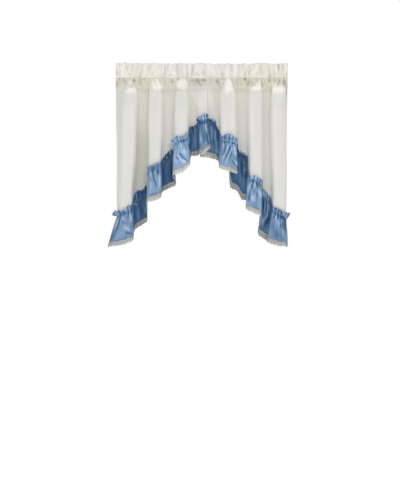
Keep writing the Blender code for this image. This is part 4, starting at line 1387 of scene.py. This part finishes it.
# %% Cream lace
# Machine-made cotton lace: twisted thread without gloss, its grey following the painted shade of its fold.
CREAM = ((0.05, "#cac8c6"), (0.32, "#a2a3a4"), (0.55, "#85878a"), (0.95, "#6f7069"))
LACE_THREAD = 0.5 * MM
cream, tree, shader = new_material("cream_cotton_lace")
knots = blotches(tree, 1.2 * MM, stretch=1.0, low=0.9, high=1.12)
gain = multiply(tree, crease_gain(tree, hollow=0.8, ridge=1.1), knots)
tree.links.new(colour_times_gain(tree, colour_by_shade(tree, CREAM), gain), shader.inputs["Base Color"])
tree.links.new(plain_weave(tree, LACE_THREAD, depth=0.15 * MM), shader.inputs["Normal"])
shader.inputs["Roughness"].default_value = 0.85
shader.inputs["Sheen Weight"].default_value = 0.1
print(cream.name)

# %% Sewing thread
# Spun cotton thread: dull, with a fine twist that only shows as a little unevenness.
def thread_material(name, hex_colour):
    material, tree, shader = new_material(name)
    place = add_node(tree, "ShaderNodeTexCoord")
    spun = {"Scale": 1 / (0.6 * MM)}
    twist = add_node(tree, "ShaderNodeTexNoise", spun, {"Vector": place.outputs["Object"]})
    span = {"To Min": 0.9, "To Max": 1.1}
    gain = add_node(tree, "ShaderNodeMapRange", span, {"Value": twist.outputs["Fac"]}).outputs["Result"]
    colour = add_node(tree, "ShaderNodeRGB")
    colour.outputs[0].default_value = linear(hex_colour)
    tree.links.new(colour_times_gain(tree, colour.outputs[0], gain), shader.inputs["Base Color"])
    raised = {"Strength": 0.4, "Distance": 0.1 * MM}
    bump = add_node(tree, "ShaderNodeBump", raised, {"Height": twist.outputs["Fac"]})
    tree.links.new(bump.outputs["Normal"], shader.inputs["Normal"])
    shader.inputs["Roughness"].default_value = 0.8
    return material


ivory_thread = thread_material("ivory_sewing_thread", "#cfcdc4")
blue_thread = thread_material("blue_sewing_thread", "#4f6f96")

# %% [markdown]
# ## What each piece is
#
# Every piece hangs still, so all of them ride on the one body. The flat size that each sheet was cut to
# is worked out and printed: a panel is as wide as its folds laid out, and long enough for the front, both
# sides of the frill and the pocket's back. The ruffle and its lace are a seventh longer than the edge that
# they are gathered along.

# %% Dress the pieces
FULLNESS = 1.15
RUFFLE_LONG, LACE_LONG = 150 * MM, 30 * MM  # down the skirt, as they are cut
RUFFLE_MIDDLE, LACE_MIDDLE = 0.3, 0.9  # shares of the skirt


def dress(piece, material, node=None):
    piece.data.materials.clear()
    piece.data.materials.append(material)
    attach(piece, "root")
    if node:
        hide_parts(node)


def panel_cut(folds):
    """Flat width, greatest length and area of a panel before it was sewn."""
    places = np.linspace(0, folds.width, 400)
    front = folds.read("seam_drop", places, STEP_RADIUS) + SEAM_ALLOWANCE
    lengths = front + 2 * FRILL + POCKET + TURNED_HEM
    return (folds.width, lengths.max()), lengths.mean() * folds.width


def strip_cut(folds, share, length):
    """Flat width and length of a gathered strip, by the line that it follows down the skirt."""
    row = np.stack(ruffle_row(folds, np.linspace(0, folds.width, 900), share, RUFFLE_STAND_OFF))
    edge = np.linalg.norm(np.diff(row, axis=1), axis=0).sum()
    return FULLNESS * edge, length


for hand, folds in SIDES:
    swag, ruffle_cloth, edging = swags[hand], ruffles[hand], edgings[hand]
    hem_thread, ruffle_thread = hem_threads[hand], ruffle_threads[hand]
    dress(swag, ivory, "panel_" + hand)
    dress(ruffle_cloth, blue, "ruffle_" + hand)
    dress(edging, cream, "lace_" + hand)
    dress(hem_thread, ivory_thread)
    dress(ruffle_thread, blue_thread)
    cut, cut_area = panel_cut(folds)
    ruffle_flat = strip_cut(folds, RUFFLE_MIDDLE, RUFFLE_LONG)
    lace_flat = strip_cut(folds, LACE_MIDDLE, LACE_LONG)
    print(f"{hand}: panel {cut[0]:.2f} x {cut[1]:.2f} m")
    print(f"{hand}: ruffle {ruffle_flat[0]:.2f} m, lace {lace_flat[0]:.2f} m")


# %% [markdown]
# ## Floor, light and camera
#
# The drape hangs in an empty white studio, well above a floor of white paper. Most of the light is even
# and comes from all around, as cloth looks softest in it. Two soft lamps from the front give the folds
# their round look, and a third one behind keeps the back from going grey. The camera stands straight in
# front, at the height of the folds.

# %% The floor
# Matt white paper, as it is rolled out under a subject: faintly mottled, and bright enough to show no edge.
FLOOR_DROP = 2.1
bpy.ops.mesh.primitive_plane_add(size=8, location=(0, 0, -FLOOR_DROP))
floor = bpy.context.object
floor.name = "floor"
paper, tree, shader = new_material("matt_white_paper")
place = add_node(tree, "ShaderNodeTexCoord")
mottled = {"Scale": 1 / (30 * MM)}
pulp = add_node(tree, "ShaderNodeTexNoise", mottled, {"Vector": place.outputs["Object"]})
span = {"To Min": 0.85, "To Max": 0.95}
dull = add_node(tree, "ShaderNodeMapRange", span, {"Value": pulp.outputs["Fac"]}).outputs["Result"]
tree.links.new(dull, shader.inputs["Roughness"])
shader.inputs["Base Color"].default_value = linear("#ffffff")
shader.inputs["Emission Color"].default_value = linear("#ffffff")
shader.inputs["Emission Strength"].default_value = 0.35
floor.data.materials.append(paper)
print(f"{floor.name}: {FLOOR_DROP} m below the rod")

# %% The light
world = bpy.data.worlds.new("studio")
bpy.context.scene.world = world
world.use_nodes = True
WHITE_SWEEP = 1.0  # how bright the empty background looks
FILL = 0.62  # how much light it gives
path = add_node(world.node_tree, "ShaderNodeLightPath")
levels = {"data_type": "FLOAT", 2: FILL, 3: WHITE_SWEEP}
level = add_node(world.node_tree, "ShaderNodeMix", levels, {"Factor": path.outputs["Is Camera Ray"]})
background = world.node_tree.nodes["Background"]
background.inputs["Color"].default_value = (1, 1, 1, 1)
world.node_tree.links.new(level.outputs[0], background.inputs["Strength"])
bpy.context.scene.view_settings.view_transform = "Standard"


def area_light(name, place, aim, size, power):
    light = bpy.data.lights.new(name, "AREA")
    light.shape = "SQUARE"
    light.size = size
    light.energy = power
    lamp = bpy.data.objects.new(name, light)
    bpy.context.scene.collection.objects.link(lamp)
    lamp.location = place
    lamp.rotation_euler = (Vector(aim) - Vector(place)).to_track_quat("-Z", "Y").to_euler()
    return lamp


DRAPE_MIDDLE = (0, 0, -0.4)
area_light("key", (2.2, -4.6, 2.0), DRAPE_MIDDLE, size=1.6, power=72)
area_light("second", (-2.8, -4.2, 1.5), DRAPE_MIDDLE, size=1.6, power=40)
area_light("behind", (-3.4, 3.6, 1.8), DRAPE_MIDDLE, size=1.8, power=40)

# %% The camera
CAMERA_AWAY = 5.0
PIXEL = 5.23 * MM  # of the picture, measured at the drape
VIEW_HIGH = 489 * PIXEL
SEAM_FROM_TOP = 78 * PIXEL
CAMERA_X = -9 * MM
SENSOR = 36  # in millimetres
camera = bpy.data.cameras.new("camera")
camera.sensor_width = SENSOR
camera.lens = SENSOR * CAMERA_AWAY / VIEW_HIGH
camera_object = bpy.data.objects.new("camera", camera)
bpy.context.scene.collection.objects.link(camera_object)
camera_object.location = (CAMERA_X, -CAMERA_AWAY, SEAM_RISE + SEAM_FROM_TOP - VIEW_HIGH / 2)
camera_object.rotation_euler = (math.pi / 2, 0, 0)
bpy.context.scene.camera = camera_object
print(f"the camera looks from {CAMERA_AWAY} m away with a {camera.lens:.0f} mm lens")
